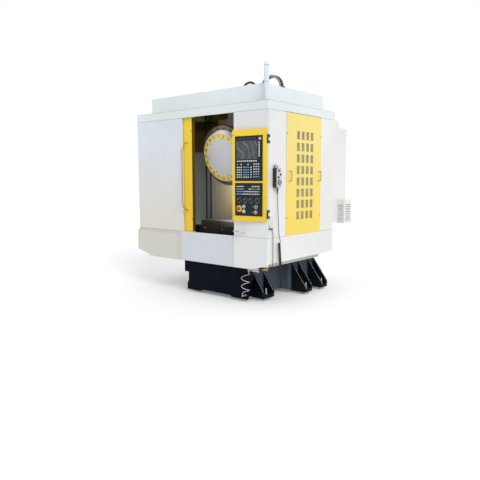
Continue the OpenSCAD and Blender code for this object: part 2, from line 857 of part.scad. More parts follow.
module side_skirts() {
    front = fold_d - sheet_t;
    lap = fold_d - sheet_t;
    translate([right_reach, 0, 0]) side_sheet(front, enclosure_d, side_skirt_z, skirt_z);
    translate([-left_reach, 0, 0]) mirror([1, 0, 0]) side_sheet(front, enclosure_d, side_skirt_z, skirt_z);
    block([-left_reach + lap, enclosure_d - sheet_t, side_skirt_z],
          [right_reach - lap, enclosure_d, skirt_z]);
}

// Inner walls of the cabin
liner_y = 975;
liner_left = left_reach - fold_d - seat;
liner_right = right_reach - fold_d - seat;
liner_z0 = tray_top;
liner_z1 = header_z + 40;
hose_z0 = 705;

module cabin_liner() {
    placed() color("#a9acac") {
        block([-liner_left, liner_y, liner_z0], [-column_half - 30, liner_y + 2, liner_z1]);
        block([column_half + 30, liner_y, liner_z0], [liner_right, liner_y + 2, liner_z1]);
        block([-liner_left, cover_y0, liner_z0], [-liner_left + 2, liner_y + 1, liner_z1]);
        block([liner_right - 2, cover_y0, liner_z0], [liner_right, liner_y + 1, liner_z1]);
        hose_clips(hose_z0 - hose_clip, hose_z0);
        for (x = hose_x) block([x - 10, hose_y, hose_z0 - hose_clip], [x + 10, liner_y + 1, hose_z0 - 3]);
    }
}

module cabin_hoses() {
    placed() color("#1b1b1b") for (x = hose_x) translate([x, hose_y, 0]) tube(cabin_hose_route, 20);
}

// Rails of the door, the black sill behind it and the first way cover
sill_y = cover_y0 - sheet_t;
sill_z = 820;
rail_y0 = leaf_back + 8;
rail_y1 = leaf_back + 34;

module door_track() {
    x0 = leaf_x0;
    x1 = opening_half + 30;
    placed() {
        color("#8c9092") {
            block([x0, sheet_t + seat, leaf_z1 + 12], [x1, rail_y1, leaf_z1 + 24]);
            block([x0, rail_y0, leaf_z1 + seat], [x1, rail_y1, leaf_z1 + 12 + EPS]);
            block([x0, fold_d + seat, leaf_z0 - 20], [x1, rail_y1, leaf_z0 - seat]);
        }
        color("#141414") {
            block([-liner_left, sill_y, liner_z0], [liner_right, cover_y0, sill_z]);
            way_cover(0, cover_y0 - EPS);
        }
    }
}

// Lift-off access panel on the right side
window_y0 = access_y + 196 + window_w / 2;
window_z0 = 945;
window_columns = 4;
window_rows = 8;
window_y1 = window_y0 + (window_columns - 1) * window_pitch_y;
window_z1 = window_z0 + (window_rows - 1) * window_pitch_z;
pull_z = 1315;
pull_h = 113;
pull_out = 35;
pull_bar = 10;

module access_windows(d) {
    for (y = [window_y0 : window_pitch_y : window_y1 + 1], z = [window_z0 : window_pitch_z : window_z1 + 1])
        translate([-d, y - window_w / 2, z - window_h / 2]) cube([2 * d, window_w, window_h]);
}

module access_panel() {
    placed() color("#f3dd62") translate([right_reach + 2, 0, 0]) difference() {
        side_sheet(access_y + seat, access_y + access_w - seat, skirt_z + seat, header_z - seat);
        access_windows(10);
    }
    placed() color("#3a3a38") for (y = [access_y + 51, access_y + access_w - 50])
        translate([right_reach + 2, y, pull_z]) pull(pull_h, pull_out, pull_bar);
}

module access_mesh() {
    placed() color("#6f6b3e") translate([right_reach + 2 - sheet_t, 0, 0])
        block([-3, window_y0 - 60, window_z0 - 70], [0, window_y1 + 60, window_z1 + 70]);
}

// A D-shaped pull standing on a face that looks along +X
module pull(h, d, bar) {
    translate([-EPS, 0, bar / 2]) rotate([0, 90, 0]) cylinder(d = bar, h = d);
    translate([-EPS, 0, h - bar / 2]) rotate([0, 90, 0]) cylinder(d = bar, h = d);
    translate([d, 0, 0]) cylinder(d = bar, h = h);
}

// Electrical cabinet on the rear
cabinet_right = 679;
cabinet_left = cabinet_right - cabinet_w;
cabinet_z0 = 788;
cabinet_z1 = cabinet_z0 + cabinet_h;
cabinet_door_t = 24;
cabinet_wall = 30;
hinge_r = 7;
hinge_pin_r = 3;
knuckle_h = 40;
hinge_x = cabinet_left - 8;
hinge_y = cabinet_rear - 12;
cabinet_hinges = [cabinet_z0 + 120, cabinet_z1 - 200];
switch_x = cabinet_right - 130;
switch_z = 1500;
switch_stem = 5;

module electrical_cabinet() {
    front = cabinet_rear - cabinet_door_t - 1;
    placed() color("#e1e1dd") {
        difference() {
            block([cabinet_left, enclosure_d, cabinet_z0], [cabinet_right, front, cabinet_z1]);
            block([cabinet_left + cabinet_wall, enclosure_d + 60, cabinet_z0 + cabinet_wall],
                  [cabinet_right - cabinet_wall, cabinet_rear, cabinet_z1 - cabinet_wall]);
        }
        // Cable box on the top
        block([560, 1620, cabinet_z1 - EPS], [640, 1760, cabinet_z1 + 95]);
        // Lower hinge knuckles with their pins
        for (z = cabinet_hinges) {
            translate([hinge_x, hinge_y, z]) cylinder(r = hinge_r, h = knuckle_h);
            translate([hinge_x, hinge_y, z]) cylinder(r = hinge_pin_r, h = 78);
            block([hinge_x - 2, front - 60, z], [cabinet_left - seat, hinge_y, z + knuckle_h]);
            block([hinge_x - 2, front - 60, z], [cabinet_left + 1, front - 1, z + knuckle_h]);
        }
    }
}

module switch_hole() {
    translate([switch_x, cabinet_rear - 15, switch_z]) rotate([-90, 0, 0])
        cylinder(r = switch_stem + 0.05, h = 30);
}

module cabinet_door() {
    placed() color("#e4e4e0") {
        difference() {
            translate([0, cabinet_rear, 0]) mirror([0, 1, 0])
                sheet_panel(cabinet_left, cabinet_right, cabinet_z0, cabinet_z1, sheet_t, cabinet_door_t);
            switch_hole();
        }
        difference() {
            block([switch_x - 36, cabinet_rear - EPS, switch_z - 36],
                  [switch_x + 36, cabinet_rear + 4, switch_z + 36]);
            switch_hole();
        }
        for (z = cabinet_hinges) difference() {
            union() {
                translate([hinge_x, hinge_y, z + knuckle_h + seat]) cylinder(r = hinge_r, h = 38);
                block([hinge_x, hinge_y - 4, z + knuckle_h + seat],
                      [cabinet_left + sheet_t, hinge_y + 4, z + knuckle_h + 38 + seat]);
            }
            translate([hinge_x, hinge_y, z]) cylinder(r = hinge_pin_r + 0.05, h = 90);
        }
    }
}

// Rotary main switch on the cabinet's door
module main_switch() {
    placed() color("#b01818") translate([switch_x, cabinet_rear + 4 + seat, switch_z]) rotate([-90, 0, 0]) {
        cylinder(d = switch_dia, h = 8);
        translate([-7, -switch_dia / 2 + 1, 0]) cube([14, switch_dia - 2, switch_reach - 4 - seat]);
        translate([0, 0, -14]) cylinder(r = switch_stem, h = 15);
    }
}

vent_y0 = 1691;
vent_y1 = 1880;
vent_reach = 785;
vent_z0 = 780;
vent_z1 = 1076;

module vent_box() {
    slot_z = 22;
    slot_h = 8;
    placed() color("#eeeeea") difference() {
        block([cabinet_right, vent_y0, vent_z0], [vent_reach, vent_y1, vent_z1]);
        block([cabinet_right - 1, vent_y0 + sheet_t, vent_z0 - 1],
              [vent_reach - sheet_t, vent_y1 - sheet_t, vent_z1 - sheet_t]);
        for (k = [0 : 9]) translate([0, 0, vent_z0 + 30 + k * slot_z]) {
            block([cabinet_right + 20, vent_y0 - 1, 0], [vent_reach - 20, vent_y0 + sheet_t + 1, slot_h]);
            block([vent_reach - sheet_t - 1, vent_y0 + 30, 0], [vent_reach + 1, vent_y1 - 30, slot_h]);
        }
    }
}

lamp_x = 781;
lamp_y = 40;

module signal_lamp() {
    placed() color("#dfe6ee") translate([lamp_x, lamp_y, roof_z]) rotate_extrude()
        polygon([[0, 0], [34, 0], [34, 8], [14, 12], [14, 40], [19, 120], [25, 180], [25, 340],
                 [22, 358], [14, 368], [0, 372]]);
}

// Sliding door

leaf_x1 = -opening_half + leaf_show;
leaf_x0 = leaf_x1 - leaf_w;
leaf_z0 = skirt_z - 8;
leaf_z1 = header_z + 8;
window_x0 = leaf_x0 + 130;
window_x1 = leaf_x1 - 190;
window_bottom = 1010;
window_top = 1800;
leaf_t = 2;
glass_lap = 15;

module door_leaf() {
    placed() color("#f0d94a") translate([0, leaf_back, 0]) difference() {
        sheet_panel(leaf_x0, leaf_x1, leaf_z0, leaf_z1, leaf_t, leaf_d);
        block([window_x0, -1, window_bottom], [window_x1, leaf_d, window_top]);
    }
}

module door_window() {
    placed() color("#9fb0b4") translate([0, leaf_back + leaf_t, 0])
        block([window_x0 - glass_lap, 0, window_bottom - glass_lap],
              [window_x1 + glass_lap, 6, window_top + glass_lap]);
}

handle_x = leaf_x1 - 70;
handle_z = 988;

// Bow handle: a long bar whose ends curve back to the leaf
module door_handle() {
    bend = 90;
    placed() color("#d8c9a8") translate([handle_x, leaf_back - handle_out, handle_z]) {
        translate([0, 0, bend]) cylinder(d = handle_dia, h = handle_h - 2 * bend);
        translate([0, bend, bend]) rotate([90, 0, 90]) rotate([0, 0, 180]) handle_bend(bend);
        translate([0, bend, handle_h - bend]) rotate([90, 0, 90]) rotate([0, 0, 90]) handle_bend(bend);
        for (z = [0, handle_h]) translate([0, bend, z]) rotate([-90, 0, 0])
            cylinder(d = handle_dia, h = handle_out - bend);
    }
}

module handle_bend(r) {
    rotate_extrude(angle = 90) translate([r, 0]) circle(d = handle_dia);
}

// Control panel, drawn closed and then turned open about its right edge
panel_y = -12;
panel_t = 12;
panel_box_d = 34;

panel_hinge_x = right_reach + 8;
panel_knuckle_r = 8;
panel_hinges = [panel_z + 60, panel_z + panel_h - 120];

module on_panel() {
    translate([panel_hinge_x, panel_y, 0]) rotate([0, 0, panel_ajar])
        translate([-panel_hinge_x, -panel_y, 0]) children();
}

unit_x0 = panel_x0 + 36;
display_z = panel_z + panel_h - 65 - display_h;
operator_z = panel_z + 55;

module control_panel() {
    placed() on_panel() color("#f0d94a") {
        translate([0, panel_y, 0]) difference() {
            face_plate(panel_x0, panel_z, panel_w, panel_h, 12, panel_t - 0.5);
            block([unit_x0, -1, display_z], [unit_x0 + unit_w, 6, display_z + display_h]);
            block([unit_x0, -1, operator_z], [unit_x0 + unit_w, 6, operator_z + operator_h]);
        }
        behind_panel(panel_margin, panel_y + panel_t - 1, panel_y + panel_t + panel_box_d);
    }
}

// Both black units with their keys, and the knuckles of the panel's hinges
unit_out = 4;
unit_t = 10;
unit_face = panel_y - unit_out;
key_t = 1.6;
stem_r = 5;
bezel_r = 20;
button_r = 14.7;
stop_ring_r = 33;

// Spots on the faces of the units, from their upper left corners
function on_display(x, z) = [unit_x0 + x, unit_face, display_z + display_h - z];
function on_operator(x, z) = [unit_x0 + x, unit_face, operator_z + operator_h - z];

knob_spots = [on_operator(50, 177), on_operator(125, 177), on_operator(197, 177), on_operator(269, 177)];
stop_spot = on_operator(50, 266);
key_spot = on_operator(113, 242);
selector_spot = on_operator(113, 291);
start_spot = on_operator(260, 244);
hold_spot = on_operator(255, 297);

// Turns +Z outwards from the panel at a spot
module outwards(spot) {
    translate(spot) rotate([90, 0, 0]) children();
}

module keys(spot, columns, rows, pitch_x, pitch_z, w, h) {
    for (i = [0 : columns - 1], j = [0 : rows - 1])
        translate(spot + [i * pitch_x - w / 2, -key_t, -j * pitch_z - h / 2]) cube([w, key_t + EPS, h]);
}

// Window of the screen, measured from the display unit's upper left corner
screen_x = [16, 271];
screen_drop = [48, 234];

module display_unit() {
    difference() {
        translate([0, unit_face, 0]) face_plate(unit_x0, display_z, unit_w, display_h, 4, unit_t);
        block(on_display(screen_x[0], screen_drop[1]) - [0, 1, 0],
              on_display(screen_x[1], screen_drop[0]) + [0, 3, 0]);
    }
    keys(on_display(302, 33), 1, 1, 1, 1, 33, 30);
    keys(on_display(293, 72), 1, 8, 1, 18.8, 13, 11);
    keys(on_display(35, 253), 10, 1, 24.5, 1, 13, 11);
    keys(on_display(32, 287), 3, 1, 46, 1, 19, 16);
    keys(on_display(30, 316), 3, 5, 24, 25, 19, 16);
    keys(on_display(113, 316), 3, 5, 25, 25, 19, 16);
    keys(on_display(198, 316), 1, 5, 1, 25, 19, 16);
    keys(on_display(233, 285), 3, 6, 26.5, 25.5, 19, 16);
}

module operator_unit() {
    difference() {
        union() {
            translate([0, unit_face, 0]) face_plate(unit_x0, operator_z, unit_w, operator_h, 4, unit_t);
            outwards(stop_spot) cylinder(r = stop_ring_r, h = 2);
            for (spot = [key_spot, selector_spot, start_spot, hold_spot]) outwards(spot)
                cylinder(r = bezel_r, h = 4);
        }
        for (spot = concat(knob_spots, [stop_spot, key_spot, selector_spot, start_spot, hold_spot]))
            outwards(spot) translate([0, 0, -unit_t - 1]) cylinder(r = stem_r + 0.05, h = unit_t + 10);
        for (spot = [start_spot, hold_spot])
            outwards(spot) translate([0, 0, -5]) cylinder(r = button_r + seat, h = 20);
    }
    keys(on_operator(27, 36), 5, 4, 18.5, 26, 16, 12);
    keys(on_operator(120, 36), 5, 4, 18.5, 26, 16, 12);
    keys(on_operator(214, 36), 5, 4, 19.5, 26, 16, 12);
}

module control_units() {
    placed() on_panel() color("#1c1e20") {
        display_unit();
        operator_unit();
        for (z = panel_hinges) difference() {
            union() {
                translate([panel_hinge_x, panel_y, z]) cylinder(r = panel_knuckle_r, h = 34);
                block([panel_x1, panel_y, z], [panel_hinge_x, panel_y + 6, z + 34]);
            }
            translate([panel_hinge_x, panel_y, z - 1]) cylinder(r = 3.05, h = 40);
        }
    }
}

// Rotary knob with a skirt and a raised grip
module knob(spot) {
    placed() on_panel() color("#26282a") outwards(spot) translate([0, 0, seat]) {
        cylinder(d = knob_dia, h = 4);
        translate([0, 0, 4 - EPS]) cylinder(r1 = knob_dia / 2 - 3, r2 = knob_dia / 2 - 5, h = 14);
        translate([-3, -knob_dia / 2 + 3, 4 - EPS]) cube([6, knob_dia - 6, 16]);
        translate([0, 0, -8]) cylinder(r = stem_r, h = 9);
    }
}

module knob_1() {
    knob(knob_spots[0]);
}

module knob_2() {
    knob(knob_spots[1]);
}

module knob_3() {
    knob(knob_spots[2]);
}

module knob_4() {
    knob(knob_spots[3]);
}

press = 4;

// Mushroom head on a stem, a press above its ring
module mushroom(d) {
    rotate_extrude()
        polygon([[0, 0], [d * 0.32, 0], [d * 0.34, d * 0.12], [d / 2 - 1, d * 0.16], [d / 2, d * 0.22],
                 [d * 0.46, d * 0.36], [d * 0.34, d * 0.46], [d * 0.16, d * 0.5], [0, d * 0.51]]);
}

module stop_button() {
    placed() on_panel() color("#b3241c") outwards(stop_spot) translate([0, 0, 2 + press + seat]) {
        mushroom(stop_dia);
        translate([0, 0, -12]) cylinder(r = stem_r, h = 13);
    }
}

// A key switch or selector: a round front with a raised bar
module turn_switch(spot, bar_w, bar_h) {
    placed() on_panel() color("#c9cccd") outwards(spot) translate([0, 0, 4 + seat]) {
        cylinder(r = bezel_r - 4, h = 5);
        translate([-bar_w / 2, -bezel_r + 6, 5 - EPS]) cube([bar_w, 2 * bezel_r - 12, bar_h]);
        translate([0, 0, -12]) cylinder(r = stem_r, h = 13);
    }
}

module key_switch() {
    turn_switch(key_spot, 4, 16);
}

module selector_switch() {
    turn_switch(selector_spot, 9, 9);
}

// A round push button that travels inside its bezel
module push_button(spot) {
    outwards(spot) {
        translate([0, 0, -0.5]) cylinder(r = button_r, h = 9);
        translate([0, 0, -5.5]) cylinder(r = stem_r, h = 5.1);
    }
}

module start_button() {
    placed() on_panel() color("#1f8a4c") push_button(start_spot);
}

module hold_button() {
    placed() on_panel() color("#d98324") push_button(hold_spot);
}

// Shelf on the front panel with two tool holes
shelf_x0 = 445;
shelf_x1 = 563;
shelf_z = 798;
shelf_d = 100;
shelf_hole_r = 13;
shelf_hole_pitch = 56;

module tool_shelf() {
    shelf_w = shelf_x1 - shelf_x0;
    placed() color("#e9e9e6") {
        difference() {
            translate([shelf_x0, -shelf_d, shelf_z]) linear_extrude(5) union() {
                rounded_rect(shelf_w, shelf_d, 24);
                translate([0, shelf_d / 2]) square([shelf_w, shelf_d / 2]);
            }
            for (s = [-1, 1])
                translate([(shelf_x0 + shelf_x1 + s * shelf_hole_pitch) / 2, -shelf_d * 0.55, shelf_z - 1])
                    cylinder(r = shelf_hole_r, h = 10);
        }
        block([shelf_x0, -4, shelf_z - 26], [shelf_x1, 0, shelf_z + 1]);
    }
}

// Small fittings on the right front corner
cable_hood_y = [8, 84];
cable_hood_z = [830, 952];
gland_z = 500;
gland_l = 30;
air_y = 58;
air_z = 379;
coil_x = 496;
air_coil_r = 45;
collar_x = 603;
coil_z0 = 80;
coil_z1 = 360;
hose_d = 8;

module cable_hood() {
    corner_r = 60;
    hood_w = cable_hood_y[1] - cable_hood_y[0];
    hood_h = cable_hood_z[1] - cable_hood_z[0];
    corner_arc = [for (a = [90 : 10 : 180]) [corner_r * (1 + cos(a)), hood_h - corner_r * (1 - sin(a))]];
    translate([right_reach, cable_hood_y[0], cable_hood_z[0]]) rotate([90, 0, 90]) linear_extrude(9)
        polygon(concat([[0, 0], [hood_w, 0], [hood_w, hood_h]], corner_arc));
    // Plug from which the corner cable hangs
    translate(corner_route[0]) rotate([42, 0, 0]) rotate_extrude()
        polygon([[0, 0], [6, 0], [9.5, 20], [9.5, 64], [0, 64]]);
}

// Hook that carries the pendant by its bail
module pendant_hook() {
    block([right_reach, hook_y - 10, hook_z - 40], [right_reach + 3, hook_y + 10, hook_z + 20]);
    block([right_reach, hook_y - 10, hook_z - 6], [bail_x + 12, hook_y + 10, hook_z]);
    block([bail_x + 8, hook_y - 10, hook_z - 6], [bail_x + 12, hook_y + 10, hook_z + 12]);
}

module gland(x, y) {
    translate([x, y, gland_z - gland_l]) cylinder(r = 11, h = gland_l + 2);
}

module cable_glands() {
    route_ends = [corner_route[len(corner_route) - 1], tail_route[len(tail_route) - 1]];
    for (end = route_ends) gland(end[0], end[1]);
    block([route_ends[0][0] - 22, route_ends[0][1] - 24, gland_z],
          [right_reach - sheet_t - seat, route_ends[1][1] + 24, gland_z + 4]);
}

// Air service unit under the front skirt and the two ends of its coiled hose
module air_unit() {
    elbow_x = tray_right + seat;
    translate([coil_x + air_coil_r, air_y, air_z]) {
        sphere(r = 12);
        rotate([0, 90, 0]) cylinder(r = 8, h = 70);
        translate([0, 0, coil_z1 - air_z]) cylinder(r = 7, h = air_z - coil_z1);
    }
    translate([collar_x, air_y, air_z]) rotate([0, 90, 0]) cylinder(r = 15, h = elbow_x - collar_x + 1);
    block([elbow_x, air_y - 17, air_z - 17], [elbow_x + 20, air_y + 17, air_z + 60]);
    translate([elbow_x + 19, air_y, air_z + 30]) rotate([0, 90, 0]) cylinder(r = 13, h = 46);
    translate([elbow_x + 64, air_y, air_z + 30]) rotate([0, 90, 0]) cylinder(r = 16, h = 44);
    // Nipple on the base for the lower end
    translate([coil_x - air_coil_r, front_y - seat, coil_z0]) rotate([90, 0, 0])
        cylinder(r = 8, h = front_y - air_y - seat);
}

// Root halves of the control panel's hinges, with their pins
module panel_hinge_legs() {
    for (z = panel_hinges) {
        translate([panel_hinge_x, panel_y, z - 26]) cylinder(r = panel_knuckle_r, h = 26 - seat);
        translate([panel_hinge_x, panel_y, z - 1]) cylinder(r = 3, h = 36);
        translate([panel_hinge_x, panel_y, z + 34 + seat]) cylinder(r = panel_knuckle_r, h = 26);
        for (leg_z = [z - 26, z + 34 + seat]) {
            block([right_reach, panel_y + 1, leg_z], [right_reach + 4, 34, leg_z + 26 - seat]);
            block([right_reach, panel_y + 3, leg_z], [panel_hinge_x, panel_y + 7, leg_z + 26 - seat]);
        }
    }
}

module wall_fittings() {
    placed() {
        color("#d9d9d5") cable_hood();
        color("#8e9294") pendant_hook();
        color("#3a3d40") cable_glands();
        color("#b8b4a8") air_unit();
        color("#1a1a1a") panel_hinge_legs();
    }
}

// Hose and energy chain that loop above the roof
loop_y = 400;
hose_loop_x = 278;
hose_loop_r = 99;
chain_x = 584;
chain_r = 126;
chain_links = 15;
link_h = 24;

module roof_loops() {
    placed() color("#17181a") translate([0, loop_y, roof_z + attic_h]) {
        translate([hose_loop_x, 0, 0]) {
            rotate([90, 0, 0]) rotate_extrude(angle = 180) translate([hose_loop_r, 0]) circle(12, $fn = 24);
            for (s = [-1, 1]) translate([s * hose_loop_r, 0, 0]) cylinder(r = 19, h = 22);
        }
        translate([chain_x, 0, 0]) energy_chain();
    }
}

// Half a turn of chain links on a belt, with a foot under each end
module energy_chain() {
    reach = chain_r + link_h;
    rotate([90, 0, 0]) translate([0, 0, -18]) linear_extrude(36) difference() {
        circle(chain_r + 6);
        circle(chain_r - 6);
        translate([-reach, -2 * reach]) square([2 * reach, 2 * reach + 1]);
    }
    for (k = [0.5 : chain_links - 0.5]) rotate([0, -k * 180 / chain_links, 0])
        translate([chain_r - 11, -24, -11]) cube([link_h, 48, 22]);
    for (s = [-1, 1]) translate([s * (chain_r + 1) - 26, -30, 0]) cube([52, 60, 8]);
}

// Hand-held pendant on the right wall
pendant_x0 = right_reach + pendant_gap;
pendant_x1 = pendant_x0 + pendant_d;
pendant_y0 = 80;
pendant_z0 = 1252;
pendant_z1 = pendant_z0 + pendant_h;
relief_y = pendant_y0 + 46;
relief_l = 64;
hook_y = pendant_y0 + 36;
bail_x = pendant_x0 + 14;
bail_r = 3.5;
pendant_stem_r = 3;
bail_half = 28;
bail_top = pendant_z1 + 24;
hook_z = bail_top - bail_r - seat;
dial_spot = [pendant_y0 + 42, pendant_z0 + 55];
rate_spot = [pendant_y0 + 24, pendant_z0 + 106];
axis_spot = [pendant_y0 + 60, pendant_z0 + 134];
pendant_stop_spot = [pendant_y0 + 28, pendant_z0 + 172];

module off_pendant(spot) {
    translate([pendant_x1, spot[0], spot[1]]) rotate([0, 90, 0]) children();
}

module pendant_body() {
    cover_d = 6;
    placed() color("#1d1e20") {
        difference() {
            union() {
                translate([pendant_x0, pendant_y0, pendant_z0]) rotate([90, 0, 90])
                    linear_extrude(pendant_d - cover_d) rounded_rect(pendant_w, pendant_h, 12);
                translate([pendant_x1 - cover_d - EPS, pendant_y0 + 3, pendant_z0 + 3]) rotate([90, 0, 90])
                    linear_extrude(cover_d + EPS) rounded_rect(pendant_w - 6, pendant_h - 6, 10);
            }
            for (spot = [dial_spot, rate_spot, axis_spot, pendant_stop_spot])
                off_pendant(spot) translate([0, 0, -14]) cylinder(r = pendant_stem_r + 0.05, h = 20);
        }
        translate([pendant_x0 + pendant_d / 2, relief_y, pendant_z0 - relief_l])
            cylinder(r1 = cable_d / 2 + 1.5, r2 = 10, h = relief_l + EPS);
        // Bail on the top
        for (s = [-1, 1]) translate([bail_x, hook_y + s * bail_half, pendant_z1 - 2])
            cylinder(r = bail_r, h = bail_top - pendant_z1 + 2);
        translate([bail_x, hook_y - bail_half - bail_r, bail_top]) rotate([-90, 0, 0])
            cylinder(r = bail_r, h = 2 * (bail_half + bail_r));
    }
}

module pendant_stop() {
    placed() color("#c02a22") off_pendant(pendant_stop_spot) translate([0, 0, press + seat]) {
        mushroom(28);
        translate([0, 0, -12]) cylinder(r = pendant_stem_r, h = 13);
    }
}

module pendant_knob(spot) {
    placed() color("#1a1a1a") off_pendant(spot) translate([0, 0, seat]) {
        cylinder(r = 10, h = 4);
        translate([-9, -2.5, 4 - EPS]) cube([18, 5, 10]);
        translate([0, 0, -10]) cylinder(r = pendant_stem_r, h = 11);
    }
}

module pendant_axis_knob() {
    pendant_knob(axis_spot);
}

module pendant_rate_knob() {
    pendant_knob(rate_spot);
}

module pendant_dial() {
    placed() color("#9a9da0") off_pendant(dial_spot) translate([0, 0, seat]) {
        cylinder(d = dial_dia, h = 8);
        translate([0, 0, 8 - EPS]) cylinder(d = dial_dia - 8, h = 4);
        translate([0, dial_dia / 2 - 10, 11]) cylinder(r = 4.5, h = dial_reach - 11 - seat);
        translate([0, 0, -10]) cylinder(r = pendant_stem_r, h = 11);
    }
}

// Routes of the cables, from the spindle axis and the front panels
coil_top = [861, 161, 684];
coil_bottom = [861, 211, 202];
drop_route = [
    [861, 126, 1188], [861, 127, 1170], [861, 129, 1130], [861, 132, 1080], [861, 135, 1030],
    [861, 139, 980],
    [861, 143, 930], [861, 147, 880], [861, 151, 830], [861, 156, 785], [861, 161, 755], [861, 170, 728],
    [861, 178, 712], [861, 181, 704], [864, 179, 697], [869, 173, 692], [872, 167, 689], [872, 161, 686]
];
tail_route = [
    [861, 200, 200], [850, 201, 192], [842, 205, 183], [833, 210, 178], [826, 213, 181], [821, 214, 190],
    [817, 214, 204], [813, 214, 250], [806, 214, 310], [799, 214, 370], [794, 214, 420], [792, 214, 455],
    [792, 214, 470]
];
corner_route = [
    [848, 57, 822], [848, 62, 815], [848, 67, 804], [848, 70, 788], [848, 72, 765], [848, 72, 720],
    [848, 72, 660],
    [848, 72, 600], [848, 72, 540], [848, 72, 490], [847, 72, 462], [842, 72, 446], [832, 72, 438],
    [820, 72, 437],
    [808, 72, 440], [798, 72, 449], [793, 72, 460], [792, 72, 470]
];
cabin_hose_route = [
    [0, 0, hose_z0], [0, 0, 760], [4, -3, 840], [9, -6, 940], [12, -9, 1050], [13, -10, 1180],
    [12, -9, 1320],
    [9, -7, 1460], [5, -4, 1600], [2, -2, 1750], [0, 0, 1900], [0, 0, 2080],
    [0, 0, roof_z + attic_h - sheet_t - hose_clip]
];

module pendant_cable() {
    placed() color("#1c1c1c") {
        tube(drop_route, cable_d);
        tube(tail_route, cable_d);
    }
}

module pendant_coil() {
    placed() color("#1c1c1c") tube([coil_top, (coil_top + coil_bottom) / 2, coil_bottom], curl_d, 12);
}

module corner_cable() {
    placed() color("#1c1c1c") tube(corner_route, cable_d);
}

module air_coil() {
    placed() color("#9aa2a6") translate([coil_x, air_y, coil_z0 + hose_d + seat])
        cylinder(r = air_coil_r + hose_d / 2, h = coil_z1 - coil_z0 - hose_d - 2 * seat);
}

base();
leveling_feet();
chip_tray();
column();
guide_rails();
axis_drives();
saddle();
x_drive();
table();
spindle_head();
spindle();
magazine_disc();
pocket_plate();
magazine_arm();
arm_bracket();
way_cover_1();
way_cover_2();
way_cover_3();
roof();
roof_loops();
left_front_panel();
right_front_panel();
side_walls();
rear_wall();
skirts();
cabin_liner();
door_track();
access_panel();
access_mesh();
signal_lamp();
electrical_cabinet();
cabinet_door();
main_switch();
vent_box();
door_leaf();
door_window();
door_handle();
tool_shelf();
wall_fittings();
control_panel();
control_units();
stop_button();
knob_1();
knob_2();
knob_3();
knob_4();
key_switch();
selector_switch();
start_button();
hold_button();
pendant_body();
pendant_stop();
pendant_axis_knob();
pendant_rate_knob();
pendant_dial();
pendant_cable();
pendant_coil();
corner_cable();
air_coil();
cabin_hoses();
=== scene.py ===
"""Dresses the drilling and tapping centre: its cords, finishes and small pieces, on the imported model.

Sizes are millimetres from the spindle axis, the plane of the front panels and the floor, unless a name
says otherwise.
"""

import math

import bmesh
import bpy
from mathutils import Matrix, Vector


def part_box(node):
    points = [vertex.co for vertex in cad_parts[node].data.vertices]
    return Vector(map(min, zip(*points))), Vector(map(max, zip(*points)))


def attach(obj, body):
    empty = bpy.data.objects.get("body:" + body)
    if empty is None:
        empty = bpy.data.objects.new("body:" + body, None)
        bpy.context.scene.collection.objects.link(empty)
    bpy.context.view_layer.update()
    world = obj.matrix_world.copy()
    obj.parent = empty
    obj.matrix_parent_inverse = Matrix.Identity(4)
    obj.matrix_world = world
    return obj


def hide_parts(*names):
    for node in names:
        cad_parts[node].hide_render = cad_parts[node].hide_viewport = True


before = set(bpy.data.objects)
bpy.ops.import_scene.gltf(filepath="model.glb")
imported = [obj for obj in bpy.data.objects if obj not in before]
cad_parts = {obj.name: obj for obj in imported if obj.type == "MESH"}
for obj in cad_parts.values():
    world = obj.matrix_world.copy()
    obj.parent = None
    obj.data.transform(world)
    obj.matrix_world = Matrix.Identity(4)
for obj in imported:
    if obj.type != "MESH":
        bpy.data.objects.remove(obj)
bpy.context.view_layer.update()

bl_info = {
    "name": "Machining Centre Dressing",
    "version": (1, 0, 0),
    "blender": (4, 5, 0),
    "location": "View3D > Sidebar > Machining",
    "description": "Adds the finishes, cords and small pieces of a drilling and tapping centre",
    "category": "Object",
}

MM = 0.001
CREASE = 34  # Edges up to this many degrees are shaded smooth
WORLD = Matrix.Identity(4)

# The machine's own zero: the spindle axis on the floor, in the plane of the front panels
SPINDLE_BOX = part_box("spindle")
AXIS_X = (SPINDLE_BOX[0].x + SPINDLE_BOX[1].x) / 2
FRONT_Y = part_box("roof")[0].y
ZERO = Vector((AXIS_X, FRONT_Y, 0))
MACHINE = Matrix.Translation(ZERO) @ Matrix.Scale(MM, 4)


def shifted(x, y, z):
    """A move in millimetres."""
    return Matrix.Translation((x, y, z))


def turned(degrees, axis):
    """A turn about one axis through the local zero."""
    return Matrix.Rotation(math.radians(degrees), 4, axis)


# Local frames in millimetres: the control panel about its hinge, the turret's disc
PANEL_HINGE = (838, -12)
PANEL_AJAR = 6
PANEL = (MACHINE @ shifted(*PANEL_HINGE, 0) @ turned(PANEL_AJAR, "Z")
         @ shifted(-PANEL_HINGE[0], -PANEL_HINGE[1], 0))
DISC_CENTRE = (0, 251, 1584)
DISC_TILT = 15
DISC = MACHINE @ shifted(*DISC_CENTRE) @ turned(90 + DISC_TILT, "X")

# The two control units on the panel, and the front of the pendant
UNIT_X = 448
UNIT_FACE = -16
UNIT_W = 332
DISPLAY_TOP = 1776
DISPLAY_H = 455
OPERATOR_TOP = 1301
OPERATOR_H = 338
PENDANT_FACE_X = 886

# The enclosure's outer faces, the ends of its upright joints and the upper edge of the band below the roof
WALL_LEFT = -1170
WALL_RIGHT = 830
WALL_REAR = 1320
JOINT_LOW = 740
JOINT_HIGH = 2028
BAND_TOP = 2117


def on_face(x, y, z):
    """Local frame on a surface that looks forward: X right, Y up, Z out."""
    return shifted(x, y, z) @ turned(90, "X")


def on_unit(top, x, down):
    """Local frame at a spot on a control unit, from its upper left corner."""
    return PANEL @ on_face(UNIT_X + x, UNIT_FACE, top - down)


